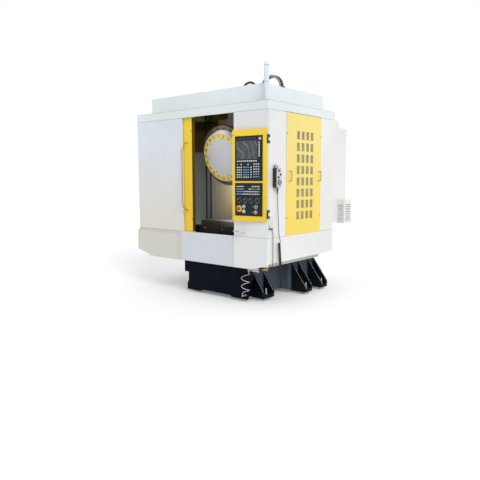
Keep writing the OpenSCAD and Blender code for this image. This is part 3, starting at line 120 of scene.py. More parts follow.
def on_side(x, y, z):
    """Local frame on a surface that looks to the right: X to the rear, Y up, Z out."""
    return shifted(x, y, z) @ turned(90, "Z") @ turned(90, "X")


def colour(code):
    """Linear values of a colour written as six hexadecimal digits."""
    parts = [int(code[i:i + 2], 16) / 255 for i in (0, 2, 4)]
    return tuple(p / 12.92 if p <= 0.04045 else ((p + 0.055) / 1.055) ** 2.4 for p in parts)


def shade(code, factor, dust=0.0):
    """A colour from its code, made darker or lighter, with pale dust on it."""
    return tuple(min(1.0, c * factor + dust) for c in colour(code))


def placed(name, data):
    """An object for data, in the scene."""
    made = bpy.data.objects.new(name, data)
    bpy.context.scene.collection.objects.link(made)
    return made


# Shapes: each returns a bmesh in millimetres about its own zero


def soften(bm, edges, width, steps=2):
    """Rounds some edges."""
    bmesh.ops.bevel(bm, geom=edges, offset=width, segments=steps, profile=0.5, affect="EDGES", material=-1)


def block(lo, hi, edge=0.0, steps=2):
    """A block between two corners, its edges rounded."""
    bm = bmesh.new()
    size = Vector(hi) - Vector(lo)
    middle = (Vector(hi) + Vector(lo)) / 2
    bmesh.ops.create_cube(bm, size=1, matrix=Matrix.LocRotScale(middle, None, size))
    if edge > 0:
        soften(bm, bm.edges[:], edge, steps)
    return bm


def lathe(profile, steps=40):
    """A turned shape about Z from (radius, height) points."""
    bm = bmesh.new()
    verts = [bm.verts.new((r, 0, z)) for r, z in profile]
    edges = [bm.edges.new(pair) for pair in zip(verts, verts[1:])]
    bmesh.ops.spin(bm, geom=verts + edges, cent=(0, 0, 0), axis=(0, 0, 1), angle=math.tau, steps=steps,
                   use_merge=True)
    bmesh.ops.remove_doubles(bm, verts=bm.verts[:], dist=0.001)
    bmesh.ops.recalc_face_normals(bm, faces=bm.faces[:])
    return bm


def ring(inner, outer, height, edge, steps):
    """A flat ring with a softened outer edge."""
    return lathe([(inner, 0), (inner, height), (outer - edge, height), (outer, height - edge), (outer, 0),
                  (inner, 0)], steps)


def metal_ring(inner, outer, height):
    """A turned ring with a rounded lip."""
    lip = (outer - inner) * 0.3
    return lathe([(inner, 0), (inner, height * 0.6), (inner + lip * 0.4, height), (outer - lip, height),
                  (outer, height * 0.55), (outer, 0), (inner, 0)], 48)


def collar(inner, outer, low, high, slope, steps=40):
    """A band round a shaft, chamfered at both ends."""
    return lathe([(inner, low), (outer, low + slope), (outer, high - slope), (inner, high), (inner, low)],
                 steps)


def rounded_plate(w, h, corner, thick, edge=0.0, corner_steps=6):
    """A plate centred on its zero, with round corners and a softened front edge."""
    bm = bmesh.new()
    points = []
    for quarter, (cx, cy) in enumerate(((1, 1), (-1, 1), (-1, -1), (1, -1))):
        for step in range(corner_steps + 1):
            a = math.radians(90 * quarter + 90 * step / corner_steps)
            points.append((cx * (w / 2 - corner) + corner * math.cos(a),
                           cy * (h / 2 - corner) + corner * math.sin(a)))
    face = bm.faces.new([bm.verts.new((x, y, 0)) for x, y in points])
    made = bmesh.ops.extrude_face_region(bm, geom=[face])
    top = [v for v in made["geom"] if isinstance(v, bmesh.types.BMVert)]
    bmesh.ops.translate(bm, verts=top, vec=(0, 0, thick))
    if edge > 0:
        soften(bm, [e for e in bm.edges if all(v in top for v in e.verts)], edge)
    bmesh.ops.recalc_face_normals(bm, faces=bm.faces[:])
    return bm


def highest_face(bm):
    """The face whose middle lies highest."""
    return max(bm.faces, key=lambda f: f.calc_center_median().z)


def stud(radius, height, sides):
    """A prism that stands on its zero."""
    bm = bmesh.new()
    bmesh.ops.create_cone(bm, cap_ends=True, segments=sides, radius1=radius, radius2=radius, depth=height,
                          matrix=shifted(0, 0, height / 2))
    return bm


def socket_screw(radius, height):
    """A screw head with a hexagon socket."""
    bm = stud(radius, height, 24)
    soften(bm, list(highest_face(bm).edges), height * 0.3)
    for border, depth in ((radius * 0.25, 0), (radius * 0.06, -height * 0.55)):
        bmesh.ops.inset_individual(bm, faces=[highest_face(bm)], thickness=border, depth=depth)
    return bm


def hexagon(across, height, edge=0.6):
    """A hexagon nut or bolt head."""
    bm = stud(across / math.sqrt(3), height, 6)
    soften(bm, bm.edges[:], edge)
    return bm


def key_cap(w, h, tall):
    """A key cap with a soft front edge, centred on its spot."""
    bm = block((-w / 2, -h / 2, 0), (w / 2, h / 2, tall))
    soften(bm, list(highest_face(bm).edges), 0.9)
    return bm


def lettering(text, height, thick):
    """Figures cut from sheet, centred on their zero."""
    curve = bpy.data.curves.new("figure", "FONT")
    curve.body = text
    curve.size = height
    curve.extrude = thick / 2
    curve.offset = height * 0.02
    curve.align_x = "CENTER"
    curve.align_y = "CENTER"
    curve.resolution_u = 3
    holder = placed("figure", curve)
    mesh = bpy.data.meshes.new_from_object(holder.evaluated_get(bpy.context.evaluated_depsgraph_get()))
    bm = bmesh.new()
    bm.from_mesh(mesh)
    bpy.data.objects.remove(holder)
    bpy.data.curves.remove(curve)
    bpy.data.meshes.remove(mesh)
    return bm


class Piece:
    """A piece in the making: shapes are added with a place and a finish, then it is closed onto a body."""

    def __init__(self, name, frame_matrix=MACHINE):
        self.name = name
        self.frame = frame_matrix
        self.bm = bmesh.new()
        self.finishes = []

    def add(self, shape, finish, place=WORLD):
        """Takes a shape in millimetres, moves it to its place and gives it a finish."""
        bmesh.ops.transform(shape, matrix=place, verts=shape.verts[:])
        if finish not in self.finishes:
            self.finishes.append(finish)
        for face in shape.faces:
            face.material_index = self.finishes.index(finish)
        mesh = bpy.data.meshes.new("part")
        shape.to_mesh(mesh)
        shape.free()
        self.bm.from_mesh(mesh)
        bpy.data.meshes.remove(mesh)

    def screws(self, radius, height, finish, places):
        """Adds the same screw at several places."""
        for place in places:
            self.add(socket_screw(radius, height), finish, place)

    def close(self, body, slot):
        """Makes the object, with smooth shading up to the crease angle, and lets it ride on its body."""
        bmesh.ops.transform(self.bm, matrix=self.frame, verts=self.bm.verts[:])
        mesh = bpy.data.meshes.new(self.name)
        self.bm.to_mesh(mesh)
        self.bm.free()
        for finish in self.finishes:
            mesh.materials.append(finish_named(finish))
        for face in mesh.polygons:
            face.use_smooth = True
        mesh.set_sharp_from_angle(angle=math.radians(CREASE))
        piece = placed(self.name, mesh)
        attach(piece, body)


# Finishes


def add_node(tree, kind, inputs, **traits):
    """Adds a shader node, fills its inputs with values or links, and gives its outputs."""
    node = tree.nodes.new("ShaderNode" + kind)
    for trait, value in traits.items():
        setattr(node, trait, value)
    for socket, value in inputs.items():
        if isinstance(value, bpy.types.NodeSocket):
            tree.links.new(value, node.inputs[socket])
        else:
            node.inputs[socket].default_value = value
    return node.outputs


class Recipe:
    """Helps to build one material's nodes around a single shader."""

    def __init__(self, name):
        self.material = bpy.data.materials.new(name)
        self.material.use_nodes = True
        self.tree = self.material.node_tree
        self.shader = next(n for n in self.tree.nodes if n.type == "BSDF_PRINCIPLED")
        self.place = self.node("TexCoord", {})["Object"]
        self.height = None
        self.parts = None

    def node(self, kind, inputs, **traits):
        return add_node(self.tree, kind, inputs, **traits)

    def along(self, axis):
        """One of the object coordinates, in metres."""
        if self.parts is None:
            self.parts = self.node("SeparateXYZ", {"Vector": self.place})
        return self.parts[axis]

    def stretched(self, scale):
        """Object coordinates, stretched along some axes."""
        return self.node("Mapping", {"Scale": scale, "Vector": self.place})["Vector"]

    def noise(self, scale, detail=2.0, rough=0.5, source=None, distort=0.0):
        return self.node("TexNoise", {"Scale": scale, "Detail": detail, "Roughness": rough,
                                      "Distortion": distort, "Vector": source or self.place})["Fac"]

    def cells(self, scale, feature="F1"):
        return self.node("TexVoronoi", {"Scale": scale, "Vector": self.place}, feature=feature)["Distance"]

    def waves(self, scale, axis, distort=0.0):
        return self.node("TexWave", {"Scale": scale, "Distortion": distort, "Vector": self.place},
                         bands_direction=axis)["Fac"]

    def remap(self, value, low, high, to_low=0.0, to_high=1.0):
        """Maps one range of a value onto another."""
        return self.node("MapRange", {"From Min": low, "From Max": high, "To Min": to_low,
                                      "To Max": to_high, "Value": value})["Result"]

    def calc(self, rule, a, b):
        """Arithmetic on two values, each a number or a link."""
        return self.node("Math", {0: a, 1: b}, operation=rule)["Value"]

    def mix(self, factor, a, b):
        """Blends two colours, each a code, a triple or a link."""
        inputs = {"Factor": factor}
        for side, value in (("A", a), ("B", b)):
            if isinstance(value, str):
                value = colour(value)
            inputs[side] = (*value, 1) if isinstance(value, tuple) else value
        return self.node("Mix", inputs, data_type="RGBA")["Result"]

    def inside(self, lo, hi):
        """1 within a box in the machine's millimetres, 0 outside it. None leaves a side open."""
        answer = None
        for axis in range(3):
            for limit, rule in ((lo[axis], "GREATER_THAN"), (hi[axis], "LESS_THAN")):
                if limit is None:
                    continue
                test = self.calc(rule, self.along(axis), ZERO[axis] + limit * MM)
                answer = test if answer is None else self.calc("MULTIPLY", answer, test)
        return answer

    def painted(self, base, regions):
        """Gives each region, a box and a colour, its own colour over the base."""
        for lo, hi, other in regions:
            base = self.mix(self.inside(lo, hi), base, other)
        return base

    def relief(self, height, strength, distance):
        """Adds one layer of bump over the ones before it."""
        inputs = {"Strength": strength, "Distance": distance, "Height": height}
        if self.height is not None:
            inputs["Normal"] = self.height
        self.height = self.node("Bump", inputs)["Normal"]

    def fixed(self, values):
        """Sets numbers that are the same all over the surface on the shader's own sockets."""
        for socket, value in values.items():
            self.shader.inputs[socket].default_value = value

    def done(self, base, rough, metal=None):
        """Links what varies over the surface to the shader."""
        varied = {"Base Color": base, "Roughness": rough, "Metallic": metal, "Normal": self.height}
        for socket, source in varied.items():
            if source is not None:
                self.tree.links.new(source, self.shader.inputs[socket])
        return self.material


def enamel(name, code, rough=0.38, tone=0.05, soil=0.10, regions=(), low=None, gloss=0.5):
    """Stoved sheet metal paint: slight drifts of tone, orange peel and a little workshop dust.

    Each region is a box with a colour of its own, for a node whose parts are painted differently, and also
    for painted light and shade on parts of one sheet.
    low is a tint blended in toward the foot of a tall sheet. It is painted light: a beige painted reflection
    at the foot of the white front, and painted shade at the foot of the yellow sheets."""
    r = Recipe(name)
    drift = r.remap(r.noise(1.4, 3.0), 0.35, 0.65)
    base = r.mix(drift, shade(code, 1 - tone), shade(code, 1 + tone * 0.4))
    # Painted light: the low tint grows from 1.75 m down to 0.85 m above the floor.
    if low is not None:
        base = r.mix(r.remap(r.along(2), 1.75, 0.85), base, low)
    base = r.painted(base, regions)
    dust = r.remap(r.noise(7.0, 8.0, 0.65, distort=0.6), 0.52, 0.78, 0.0, soil)
    base = r.mix(dust, base, shade(code, 0.62))
    speck = r.remap(r.cells(110.0), 0.0, 0.07, 0.25, 0.0)
    base = r.mix(r.calc("MULTIPLY", speck, dust), base, shade(code, 0.35))
    r.relief(r.noise(520.0, 2.0), 0.10, 0.0006)
    r.relief(r.noise(3.0, 1.0), 0.05, 0.004)
    r.fixed({"Specular IOR Level": gloss})
    return r.done(base, r.remap(r.noise(38.0, 5.0), 0.3, 0.7, rough - 0.05, rough + 0.09))


def casting(name, code, rough=0.5, grain=0.35, soil=0.25, regions=(), gloss=0.5):
    """Painted cast iron: sand-cast grain below a thick coat, with chips and dust."""
    r = Recipe(name)
    base = r.mix(r.remap(r.noise(2.2, 4.0), 0.3, 0.7), shade(code, 0.82), shade(code, 1.16))
    base = r.painted(base, regions)
    dust = r.remap(r.noise(9.0, 9.0, 0.7, distort=0.8), 0.5, 0.8, 0.0, soil)
    base = r.mix(dust, base, shade(code, 0.7, 0.07))
    chips = r.remap(r.cells(60.0), 0.0, 0.05, 0.5, 0.0)
    base = r.mix(r.calc("MULTIPLY", chips, dust), base, "8b8d8c")
    r.relief(r.noise(150.0, 5.0, 0.6), grain, 0.0012)
    r.relief(r.cells(34.0, "SMOOTH_F1"), 0.18, 0.002)
    r.fixed({"Specular IOR Level": gloss})
    return r.done(base, r.remap(r.noise(30.0, 5.0), 0.3, 0.7, rough - 0.08, rough + 0.14))


def worked_metal(name, code, rough=0.3, along=(1.0, 60.0, 60.0), lines=0.16, stain=0.12, metal=1.0):
    """Ground or drawn metal: fine lines along one direction, stains and varied gloss."""
    r = Recipe(name)
    lined = r.noise(26.0, 6.0, 0.65, source=r.stretched(along))
    patches = r.remap(r.noise(6.0, 5.0, distort=0.5), 0.35, 0.7)
    base = r.mix(r.remap(lined, 0.3, 0.7), shade(code, 0.86), shade(code, 1.08))
    base = r.mix(r.calc("MULTIPLY", patches, stain), base, shade(code, 0.45))
    r.relief(lined, lines, 0.0004)
    r.relief(r.noise(240.0, 3.0), 0.05, 0.0004)
    r.fixed({"Metallic": metal})
    gloss = r.remap(lined, 0.3, 0.7, rough - 0.06, rough + 0.08)
    return r.done(base, r.calc("ADD", gloss, r.calc("MULTIPLY", patches, 0.10)))


def moulded(name, code, rough=0.45, grain=0.18, tone=0.08, coat=0.0, clear=0.0, gloss=0.5):
    """Moulded plastic: a fine spark-eroded grain, faint flow marks and finger gloss."""
    r = Recipe(name)
    flow = r.remap(r.noise(12.0, 3.0, distort=1.2), 0.3, 0.7)
    base = r.mix(flow, shade(code, 1 - tone), shade(code, 1 + tone))
    wear_and_highlight = r.remap(r.noise(30.0, 6.0, 0.6), 0.45, 0.7)
    r.relief(r.noise(1400.0, 2.0), grain, 0.0002)
    r.relief(r.noise(60.0, 2.0), 0.04, 0.0006)
    r.fixed({"Coat Weight": coat, "Transmission Weight": clear, "Specular IOR Level": gloss})
    return r.done(base, r.remap(wear_and_highlight, 0.0, 1.0, rough + 0.05, rough - 0.10))


def rubber(name, code, rough=0.6):
    """Cable jacket: matt, a little dusty, with fine rings left by extrusion."""
    r = Recipe(name)
    base = r.mix(r.remap(r.noise(25.0, 5.0), 0.4, 0.7, 0.0, 0.35), code, shade(code, 0.5, 0.015))
    r.relief(r.noise(500.0, 3.0), 0.14, 0.0004)
    r.relief(r.noise(70.0, 2.0), 0.06, 0.0008)
    return r.done(base, r.remap(r.noise(60.0, 4.0), 0.3, 0.7, rough - 0.1, rough + 0.12))


def glazing(name, code):
    """Tinted polycarbonate with faint scratches and a coolant haze."""
    r = Recipe(name)
    haze = r.remap(r.noise(5.0, 7.0, 0.6, distort=0.5), 0.4, 0.8, 0.0, 0.5)
    base = r.mix(haze, code, shade(code, 0.8))
    scratches = r.noise(40.0, 5.0, 0.7, source=r.stretched((30.0, 1.0, 1.5)))
    r.relief(scratches, 0.04, 0.0004)
    r.fixed({"Transmission Weight": 0.85, "IOR": 1.5})
    return r.done(base, r.remap(haze, 0.0, 0.5, 0.05, 0.28))


def woven_mesh(name, code):
    """Dark filter cloth behind the wires: a soft weave with dust."""
    r = Recipe(name)
    weave = r.calc("MAXIMUM", r.waves(160.0, "Y"), r.waves(160.0, "Z"))
    base = r.mix(r.remap(weave, 0.3, 0.9), shade(code, 0.55), shade(code, 1.1))
    base = r.mix(r.remap(r.noise(14.0, 5.0), 0.45, 0.7, 0.0, 0.5), base, shade(code, 0.5))
    r.relief(weave, 0.3, 0.0008)
    return r.done(base, r.remap(r.noise(60.0, 3.0), 0.3, 0.7, 0.6, 0.8))


def screen_glass(name):
    """A lit screen: soft pale curves on a grey ground."""
    r = Recipe(name)
    low = r.noise(9.0, 3.0, distort=2.0)
    curves = r.waves(2.3, "X", 11.0)
    plot = r.calc("MULTIPLY", r.remap(curves, 0.44, 0.5), r.remap(curves, 0.5, 0.56, 1.0, 0.0))
    base = r.mix(plot, r.mix(r.remap(low, 0.3, 0.7), "2a2f33", "474d51"), "8f9797")
    r.tree.links.new(base, r.shader.inputs["Emission Color"])
    r.fixed({"Emission Strength": 0.2})
    r.relief(r.noise(900.0, 2.0), 0.02, 0.0001)
    return r.done(base, r.remap(r.noise(14.0, 4.0), 0.3, 0.7, 0.12, 0.22))


def drive_metal(name):
    """Ground screws and rails with black servo motors at their ends, told apart by place."""
    r = Recipe(name)
    lined = r.noise(30.0, 6.0, 0.65, source=r.stretched(EVEN))
    base = r.mix(r.remap(lined, 0.3, 0.7), "9fa3a6", "c2c6c9")
    mask = None
    for lo, hi in (((-70, 130, 480), (70, 273, 620)), ((-80, 840, 1990), (80, 1030, None)),
                   ((578, 480, 600), (None, 620, 780))):
        motor = r.inside(lo, hi)
        base = r.mix(motor, base, "26282b")
        mask = motor if mask is None else r.calc("MAXIMUM", mask, motor)
    r.relief(r.noise(300.0, 4.0), 0.12, 0.0005)
    return r.done(base, r.remap(r.noise(25.0, 4.0), 0.3, 0.7, 0.26, 0.44), r.calc("SUBTRACT", 1.0, mask))


def liner_sheet(name):
    """Brushed sheets inside the cabin, cool grey with a beige-yellow painted reflection of the yellow door
    toward the right, in soft upright streaks, and painted shade above the magazine.
    """
    r = Recipe(name)
    streaks = r.noise(3.2, 3.0, source=r.stretched((1.0, 1.0, 0.12)))
    # Painted reflection: beige-yellow streaks that grow toward the right, the yellow door's light on the back
    # wall under the disc.
    yellow_reflection = r.calc("MULTIPLY", r.remap(streaks, 0.3, 0.6, 0.3, 1.0), r.remap(r.along(0), -0.75, -0.42))
    base = r.mix(yellow_reflection, "bcc6c9", "dcbf84")
    brushed = r.noise(60.0, 4.0, 0.6, source=r.stretched((1.0, 1.0, 0.03)))
    base = r.mix(r.remap(brushed, 0.4, 0.7, 0.0, 0.25), base, "7d8078")
    # Painted shade: the sheets darken to brown above 1.7 m and to dark olive above 1.995 m.
    for z, painted_shade in ((1700, "75663f"), (1995, "45431e")):
        base = r.mix(r.remap(r.along(2), z * MM - 0.02, z * MM + 0.02), base, painted_shade)
    r.relief(brushed, 0.06, 0.0004)
    r.relief(r.noise(4.0, 2.0), 0.05, 0.004)
    return r.done(base, r.remap(brushed, 0.3, 0.7, 0.36, 0.5))


def fitting_mix(name):
    """The small wall fittings: pale hood, grey hook, black hinges and glands, plated and brass air parts."""
    r = Recipe(name)
    base = r.mix(r.remap(r.noise(9.0, 4.0), 0.3, 0.7), "cfcfca", "dcdcd8")
    base = r.painted(base, (
        ((None, None, 940), (850, 34, 1900), BLACK_FITTING),
        ((776, 40, 440), (830, 250, 510), BLACK_FITTING),
        ((838, 0, 820), (None, 110, 842), BLACK_FITTING),
        ((690, 30, 360), (745, 90, 440), BLACK_FITTING)))
    plated = r.inside((440, 40, 60), (690, 130, 400))
    gold = r.inside((743, 30, 380), (None, 90, 440))
    base = r.mix(gold, r.mix(plated, base, "b7bab9"), BRASS)
    r.relief(r.noise(420.0, 3.0), 0.10, 0.0005)
    r.relief(r.noise(40.0, 3.0), 0.05, 0.001)
    return r.done(base, r.remap(r.noise(30.0, 5.0), 0.3, 0.7, 0.3, 0.5), r.calc("MAXIMUM", plated, gold))


def pendant_shell(name):
    """Black moulded shell with a pale front plate."""
    r = Recipe(name)
    face = r.inside((PENDANT_FACE_X - 5.8, None, 1240), (None, None, 1455))
    dark = r.mix(r.remap(r.noise(20.0, 4.0), 0.3, 0.7), "17181a", "232427")
    pale = r.mix(r.remap(r.noise(15.0, 3.0), 0.3, 0.7), "c6c7c7", "d3d4d3")
    r.relief(r.noise(1100.0, 2.0), 0.16, 0.0003)
    r.relief(r.noise(80.0, 2.0), 0.04, 0.0006)
    return r.done(r.mix(face, dark, pale), r.remap(r.noise(45.0, 4.0), 0.3, 0.7, 0.36, 0.52))


# A grain that runs in no direction
EVEN = (1.0, 1.0, 1.0)

# Whites and yellows of the sheets, partly painted light. The one white is painted darker and bluer on the
# front than on the right side, which the light falls on, and beige low on the left skirt as a painted
# reflection. The side's yellow is a paler lit copy of the door's, deeper toward its foot.
WHITE_LOW = "cfcdc2"
WHITE_MIDDLE = "d0d3da"
WHITE_RIGHT = "e0e2e3"
WHITE_SIDE = "e5e5e2"
YELLOW_SIDE = "eeda7c"
YELLOW_SIDE_LOW = "efd255"
# Painted shade with an olive tint, for the dark top of the cabin
ROOF_INSIDE_SHADE = "a5a250"
BLACK_FITTING = "1b1c1e"
BRASS = "b59a52"

# Finishes by recipe, each as what the recipe is given: in its order, or by name
FINISHES = {
    enamel: {
        # Painted shade: the roof's inner faces, round the band and over the cabin, are painted olive instead
        # of the roof's white.
        "roof_paint": dict(code="e0e7e8", regions=(
            ((-1168, 1.5, 2029), (828.5, 1318, 2118.5), ROOF_INSIDE_SHADE),
            ((-978.5, 78.5, None), (728.5, 1208.5, 2298.5), ROOF_INSIDE_SHADE))),
        # Painted shade: the left front sheet takes a darker, bluer copy of the side's white, and its low tint
        # is a painted reflection at its foot.
        "front_paint": dict(code="dae0e6", low="dad6cb"),
        "right_front_paint": (WHITE_RIGHT,),
        "side_paint": (WHITE_SIDE,),
        # The skirts' one white in lit and shaded copies by place: beige low on the left front as a painted
        # reflection, darker and bluer in the middle front as painted shade, lighter on the right front, and
        # lightest on the side that the light falls on.
        "skirt_paint": dict(code=WHITE_SIDE, soil=0.16, regions=(
            ((None, None, None), (-424, 21, None), WHITE_LOW),
            ((-424, None, None), (374, 21, None), WHITE_MIDDLE),
            ((374, None, None), (829.5, 21, None), WHITE_RIGHT))),
        "tray_paint": dict(code="d8d8d2", soil=0.3),
        # Painted shade: the door's yellow deepens toward its foot through the low tint.
        "yellow_paint": dict(code="f0cf2c", rough=0.34, tone=0.03, low="e9c31c"),
        "access_paint": dict(code=YELLOW_SIDE, rough=0.34, tone=0.03, low=YELLOW_SIDE_LOW, regions=(
            ((833.0, None, None), (None, None, None), "a89866"),)),
        "access_hem": dict(code=YELLOW_SIDE, rough=0.34, tone=0.03, low=YELLOW_SIDE_LOW),
        "track_paint": dict(code="85898b", rough=0.4, soil=0.2, gloss=0.15, regions=(
            ((None, 80, None), (None, None, None), "0a0a0a"),
            ((None, None, None), (None, None, 722), "1b1c1d"))),
        "bracket_paint": dict(code="5a4f45", rough=0.45, soil=0.3),
    },
    casting: {
        # Painted shade on the casting's one paint: near black on the front, which the light from the right
        # leaves in shade, and dark on the feet and gussets, where contact shade falls. Only the right side
        # wall keeps the lighter code.
        "base_paint": dict(code="48525c", grain=0.3, soil=0.03, gloss=0.06, regions=(
            ((None, None, None), (430, None, None), "020814"),
            ((446, None, None), (None, 470, None), "0f1216"),
            ((430, None, None), (None, 268, None), "080b10"),
            ((566, None, None), (None, None, None), "12161b"))),
        "casting_paint": ("4c5058",),
        "head_paint": ("6b655c", 0.5, 0.25),
    },
    worked_metal: {
        "plate_steel": dict(code="7a6f5c", rough=0.42, along=(1.0, 1.0, 40.0), metal=0.6),
        "rail_steel": ("b3b7ba", 0.26),
        "bare_steel": ("c4c7c9", 0.22, (1.0, 1.0, 30.0)),
        "cover_steel": ("a8acae", 0.32, (60.0, 1.0, 60.0)),
        "table_iron": ("9da0a2", 0.34, (1.0, 50.0, 50.0), 0.22, 0.25),
        "zinc": ("b9bcbd", 0.36, EVEN, 0.06, 0.3),
        "screw_black": ("2b2b2c", 0.42, EVEN, 0.08, 0.2, 0.7),
        "chrome": ("cfd3d5", 0.12, EVEN, 0.03, 0.12),
        "handle_finish": ("d2bba9", 0.2, (1.0, 1.0, 20.0), 0.05, 0.15, 0.85),
        "brass": (BRASS, 0.28, (50.0, 1.0, 1.0), 0.12, 0.2),
        "mesh_wire": ("cbc4a0", 0.45, EVEN, 0.1, 0.3, 0.4),
        "dial_metal": ("9a9da0", 0.3, (1.0, 30.0, 30.0), 0.1, 0.15, 0.8),
        # Painted highlight: pale strips along the sloping edges of the feet's gussets
        "edge_highlight": ("c3c8cc", 0.4, EVEN, 0.1, 0.2, 0.3),
    },
    moulded: {
        "turret_white": ("dcdde1", 0.35, 0.06, 0.03, 0.2),
        "turret_yellow": ("fade70", 0.4, 0.06, 0.05),
        "figure_ink": ("3a2604", 0.5, 0.05, 0.1),
        "black_plastic": ("1d1f23", 0.42),
        "panel_black": dict(code="1f232b", rough=0.55, grain=0.22, tone=0.1, gloss=0.22),
        "panel_grey": dict(code="383d47", rough=0.5, grain=0.2, gloss=0.25),
        "key_white": ("dfe2e4", 0.4, 0.1, 0.04),
        "key_grey": ("a9adb1", 0.45, 0.1, 0.04),
        "key_blue": ("8fb0cf", 0.4, 0.1, 0.04),
        "key_teal": ("7db3bb", 0.4, 0.1, 0.04),
        "key_beige": ("c9b996", 0.45, 0.1, 0.04),
        "key_green": ("5cb878", 0.4, 0.1, 0.04),
        "key_red": ("c95348", 0.4, 0.1, 0.04),
        "key_lime": ("c2c34b", 0.4, 0.1, 0.04),
        "mark_white": ("e6e6e2", 0.55, 0.05, 0.03),
        "mark_dark": ("33363a", 0.55, 0.05, 0.05),
        "red_plastic": ("c0281f", 0.28, 0.05, 0.05, 0.3),
        "yellow_plastic": ("e8c62f", 0.35, 0.08, 0.04, 0.1),
        "green_plastic": ("1c8a68", 0.28, 0.05, 0.05, 0.3),
        "orange_plastic": ("d07a2c", 0.28, 0.05, 0.05, 0.3),
        "switch_red": ("b01818", 0.35, 0.08, 0.05, 0.2),
        "lamp_body": ("e2e9f2", 0.22, 0.03, 0.04, 0.4, 0.15),
        "lamp_dark": ("6d747d", 0.35, 0.06),
        "hose_clear": ("c6ccd0", 0.25, 0.03, 0.05, 0.2, 0.25),
        "chain_plate": ("a1a4a7", 0.5, 0.2),
        # Painted shade: a dark brown copy of the yellow for the door leaf's shaded edge
        "leaf_edge_shade": dict(code="5a430f", rough=0.6, gloss=0.1),
    },
    rubber: {
        "cord_black": ("111113",),
        "cord_grey": ("242528",),
        "hose_black": ("17181a", 0.5),
        "loop_grey": ("3f3e3a",),
        "seal_grey_and_shade": ("8d9091", 0.7),
        "seal_dark_and_shade": ("2a2b2c", 0.7),
    },
    glazing: {"glass": ("a9b8bb",)},
    woven_mesh: {"mesh_cloth": ("8f8a6c",)},
    screen_glass: {"screen": ()},
    drive_metal: {"drive_metal": ()},
    liner_sheet: {"liner_paint": ()},
    fitting_mix: {"fittings": ()},
    pendant_shell: {"pendant_shell": ()},
}
RECIPES = {name: (maker, values) for maker, rows in FINISHES.items() for name, values in rows.items()}
made_finishes = {}


def finish_named(name):
    """The material of a finish, made on first use."""
    if name not in made_finishes:
        maker, values = RECIPES[name]
        made = maker(name, **values) if isinstance(values, dict) else maker(name, *values)
        made_finishes[name] = made
    return made_finishes[name]


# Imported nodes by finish
FINISH_NODES = {
    "base_paint": "base",
    "zinc": "leveling_feet",
    "tray_paint": "chip_tray",
    "casting_paint": "column saddle magazine_arm",
    "rail_steel": "guide_rails",
    "drive_metal": "axis_drives x_drive",
    "table_iron": "table",
    "head_paint": "spindle_head",
    "bare_steel": "spindle",
    "turret_white": "magazine_disc",
    "plate_steel": "pocket_plate",
    "bracket_paint": "arm_bracket",
    "cover_steel": "way_cover_1 way_cover_2 way_cover_3",
    "roof_paint": "roof",
    "loop_grey": "roof_loops",
    "front_paint": "left_front_panel",
    "right_front_paint": "right_front_panel",
    "side_paint": "side_walls rear_wall electrical_cabinet cabinet_door vent_box tool_shelf",
    "skirt_paint": "skirts",
    "liner_paint": "cabin_liner",
    "track_paint": "door_track",
    "access_paint": "access_panel",
    "mesh_cloth": "access_mesh",
    "lamp_body": "signal_lamp",
    "switch_red": "main_switch",
    "yellow_paint": "door_leaf control_panel",
    "glass": "door_window",
    "handle_finish": "door_handle",
    "fittings": "wall_fittings",
    "panel_black": "control_units",
    "red_plastic": "stop_button pendant_stop",
    "black_plastic": "knob_1 knob_2 knob_3 knob_4 pendant_axis_knob pendant_rate_knob",
    "chrome": "key_switch selector_switch",
    "green_plastic": "start_button",
    "orange_plastic": "hold_button",
    "pendant_shell": "pendant_body",
    "dial_metal": "pendant_dial",
    "cord_black": "pendant_cable pendant_coil",
    "cord_grey": "corner_cable",
    "hose_clear": "air_coil",
    "hose_black": "cabin_hoses",
}
NODE_FINISH = {node: finish for finish, nodes in FINISH_NODES.items() for node in nodes.split()}

# Routes of the cords in metres from the machine's zero, as in the part's source
DROP_ROUTE = [
    (0.861, 0.126, 1.188), (0.861, 0.127, 1.170), (0.861, 0.129, 1.130), (0.861, 0.132, 1.080),
    (0.861, 0.135, 1.030), (0.861, 0.139, 0.980), (0.861, 0.143, 0.930), (0.861, 0.147, 0.880),
    (0.861, 0.151, 0.830), (0.861, 0.156, 0.785), (0.861, 0.161, 0.755), (0.861, 0.170, 0.728),
    (0.861, 0.178, 0.712), (0.861, 0.181, 0.704), (0.864, 0.179, 0.697), (0.869, 0.173, 0.692),
    (0.872, 0.167, 0.689), (0.872, 0.161, 0.686),
]
COIL_TOP = (0.861, 0.161, 0.684)
COIL_BOTTOM = (0.861, 0.211, 0.202)
TAIL_ROUTE = [
    (0.861, 0.200, 0.200), (0.850, 0.201, 0.192), (0.842, 0.205, 0.183), (0.833, 0.210, 0.178),
    (0.826, 0.213, 0.181), (0.821, 0.214, 0.190), (0.817, 0.214, 0.204), (0.813, 0.214, 0.250),
    (0.806, 0.214, 0.310), (0.799, 0.214, 0.370), (0.794, 0.214, 0.420), (0.792, 0.214, 0.455),
    (0.792, 0.214, 0.470),
]
CORNER_ROUTE = [
    (0.848, 0.057, 0.822), (0.848, 0.062, 0.815), (0.848, 0.067, 0.804), (0.848, 0.070, 0.788),
    (0.848, 0.072, 0.765), (0.848, 0.072, 0.720), (0.848, 0.072, 0.660), (0.848, 0.072, 0.600),
    (0.848, 0.072, 0.540), (0.848, 0.072, 0.490), (0.847, 0.072, 0.462), (0.842, 0.072, 0.446),
    (0.832, 0.072, 0.438), (0.820, 0.072, 0.437), (0.808, 0.072, 0.440), (0.798, 0.072, 0.449),
    (0.793, 0.072, 0.460), (0.792, 0.072, 0.470),
]
AIR_TOP = (0.541, 0.058, 0.360)
AIR_BOTTOM = (0.451, 0.058, 0.090)
# How much wider than its radius the curly stretch is laid, because its spline cuts corners, and the turn
# of the air hose's end bends in degrees with the steps in it
CURL_SPREAD = 1.03
BEND_DEGREES = 80
BEND_STEPS = 6


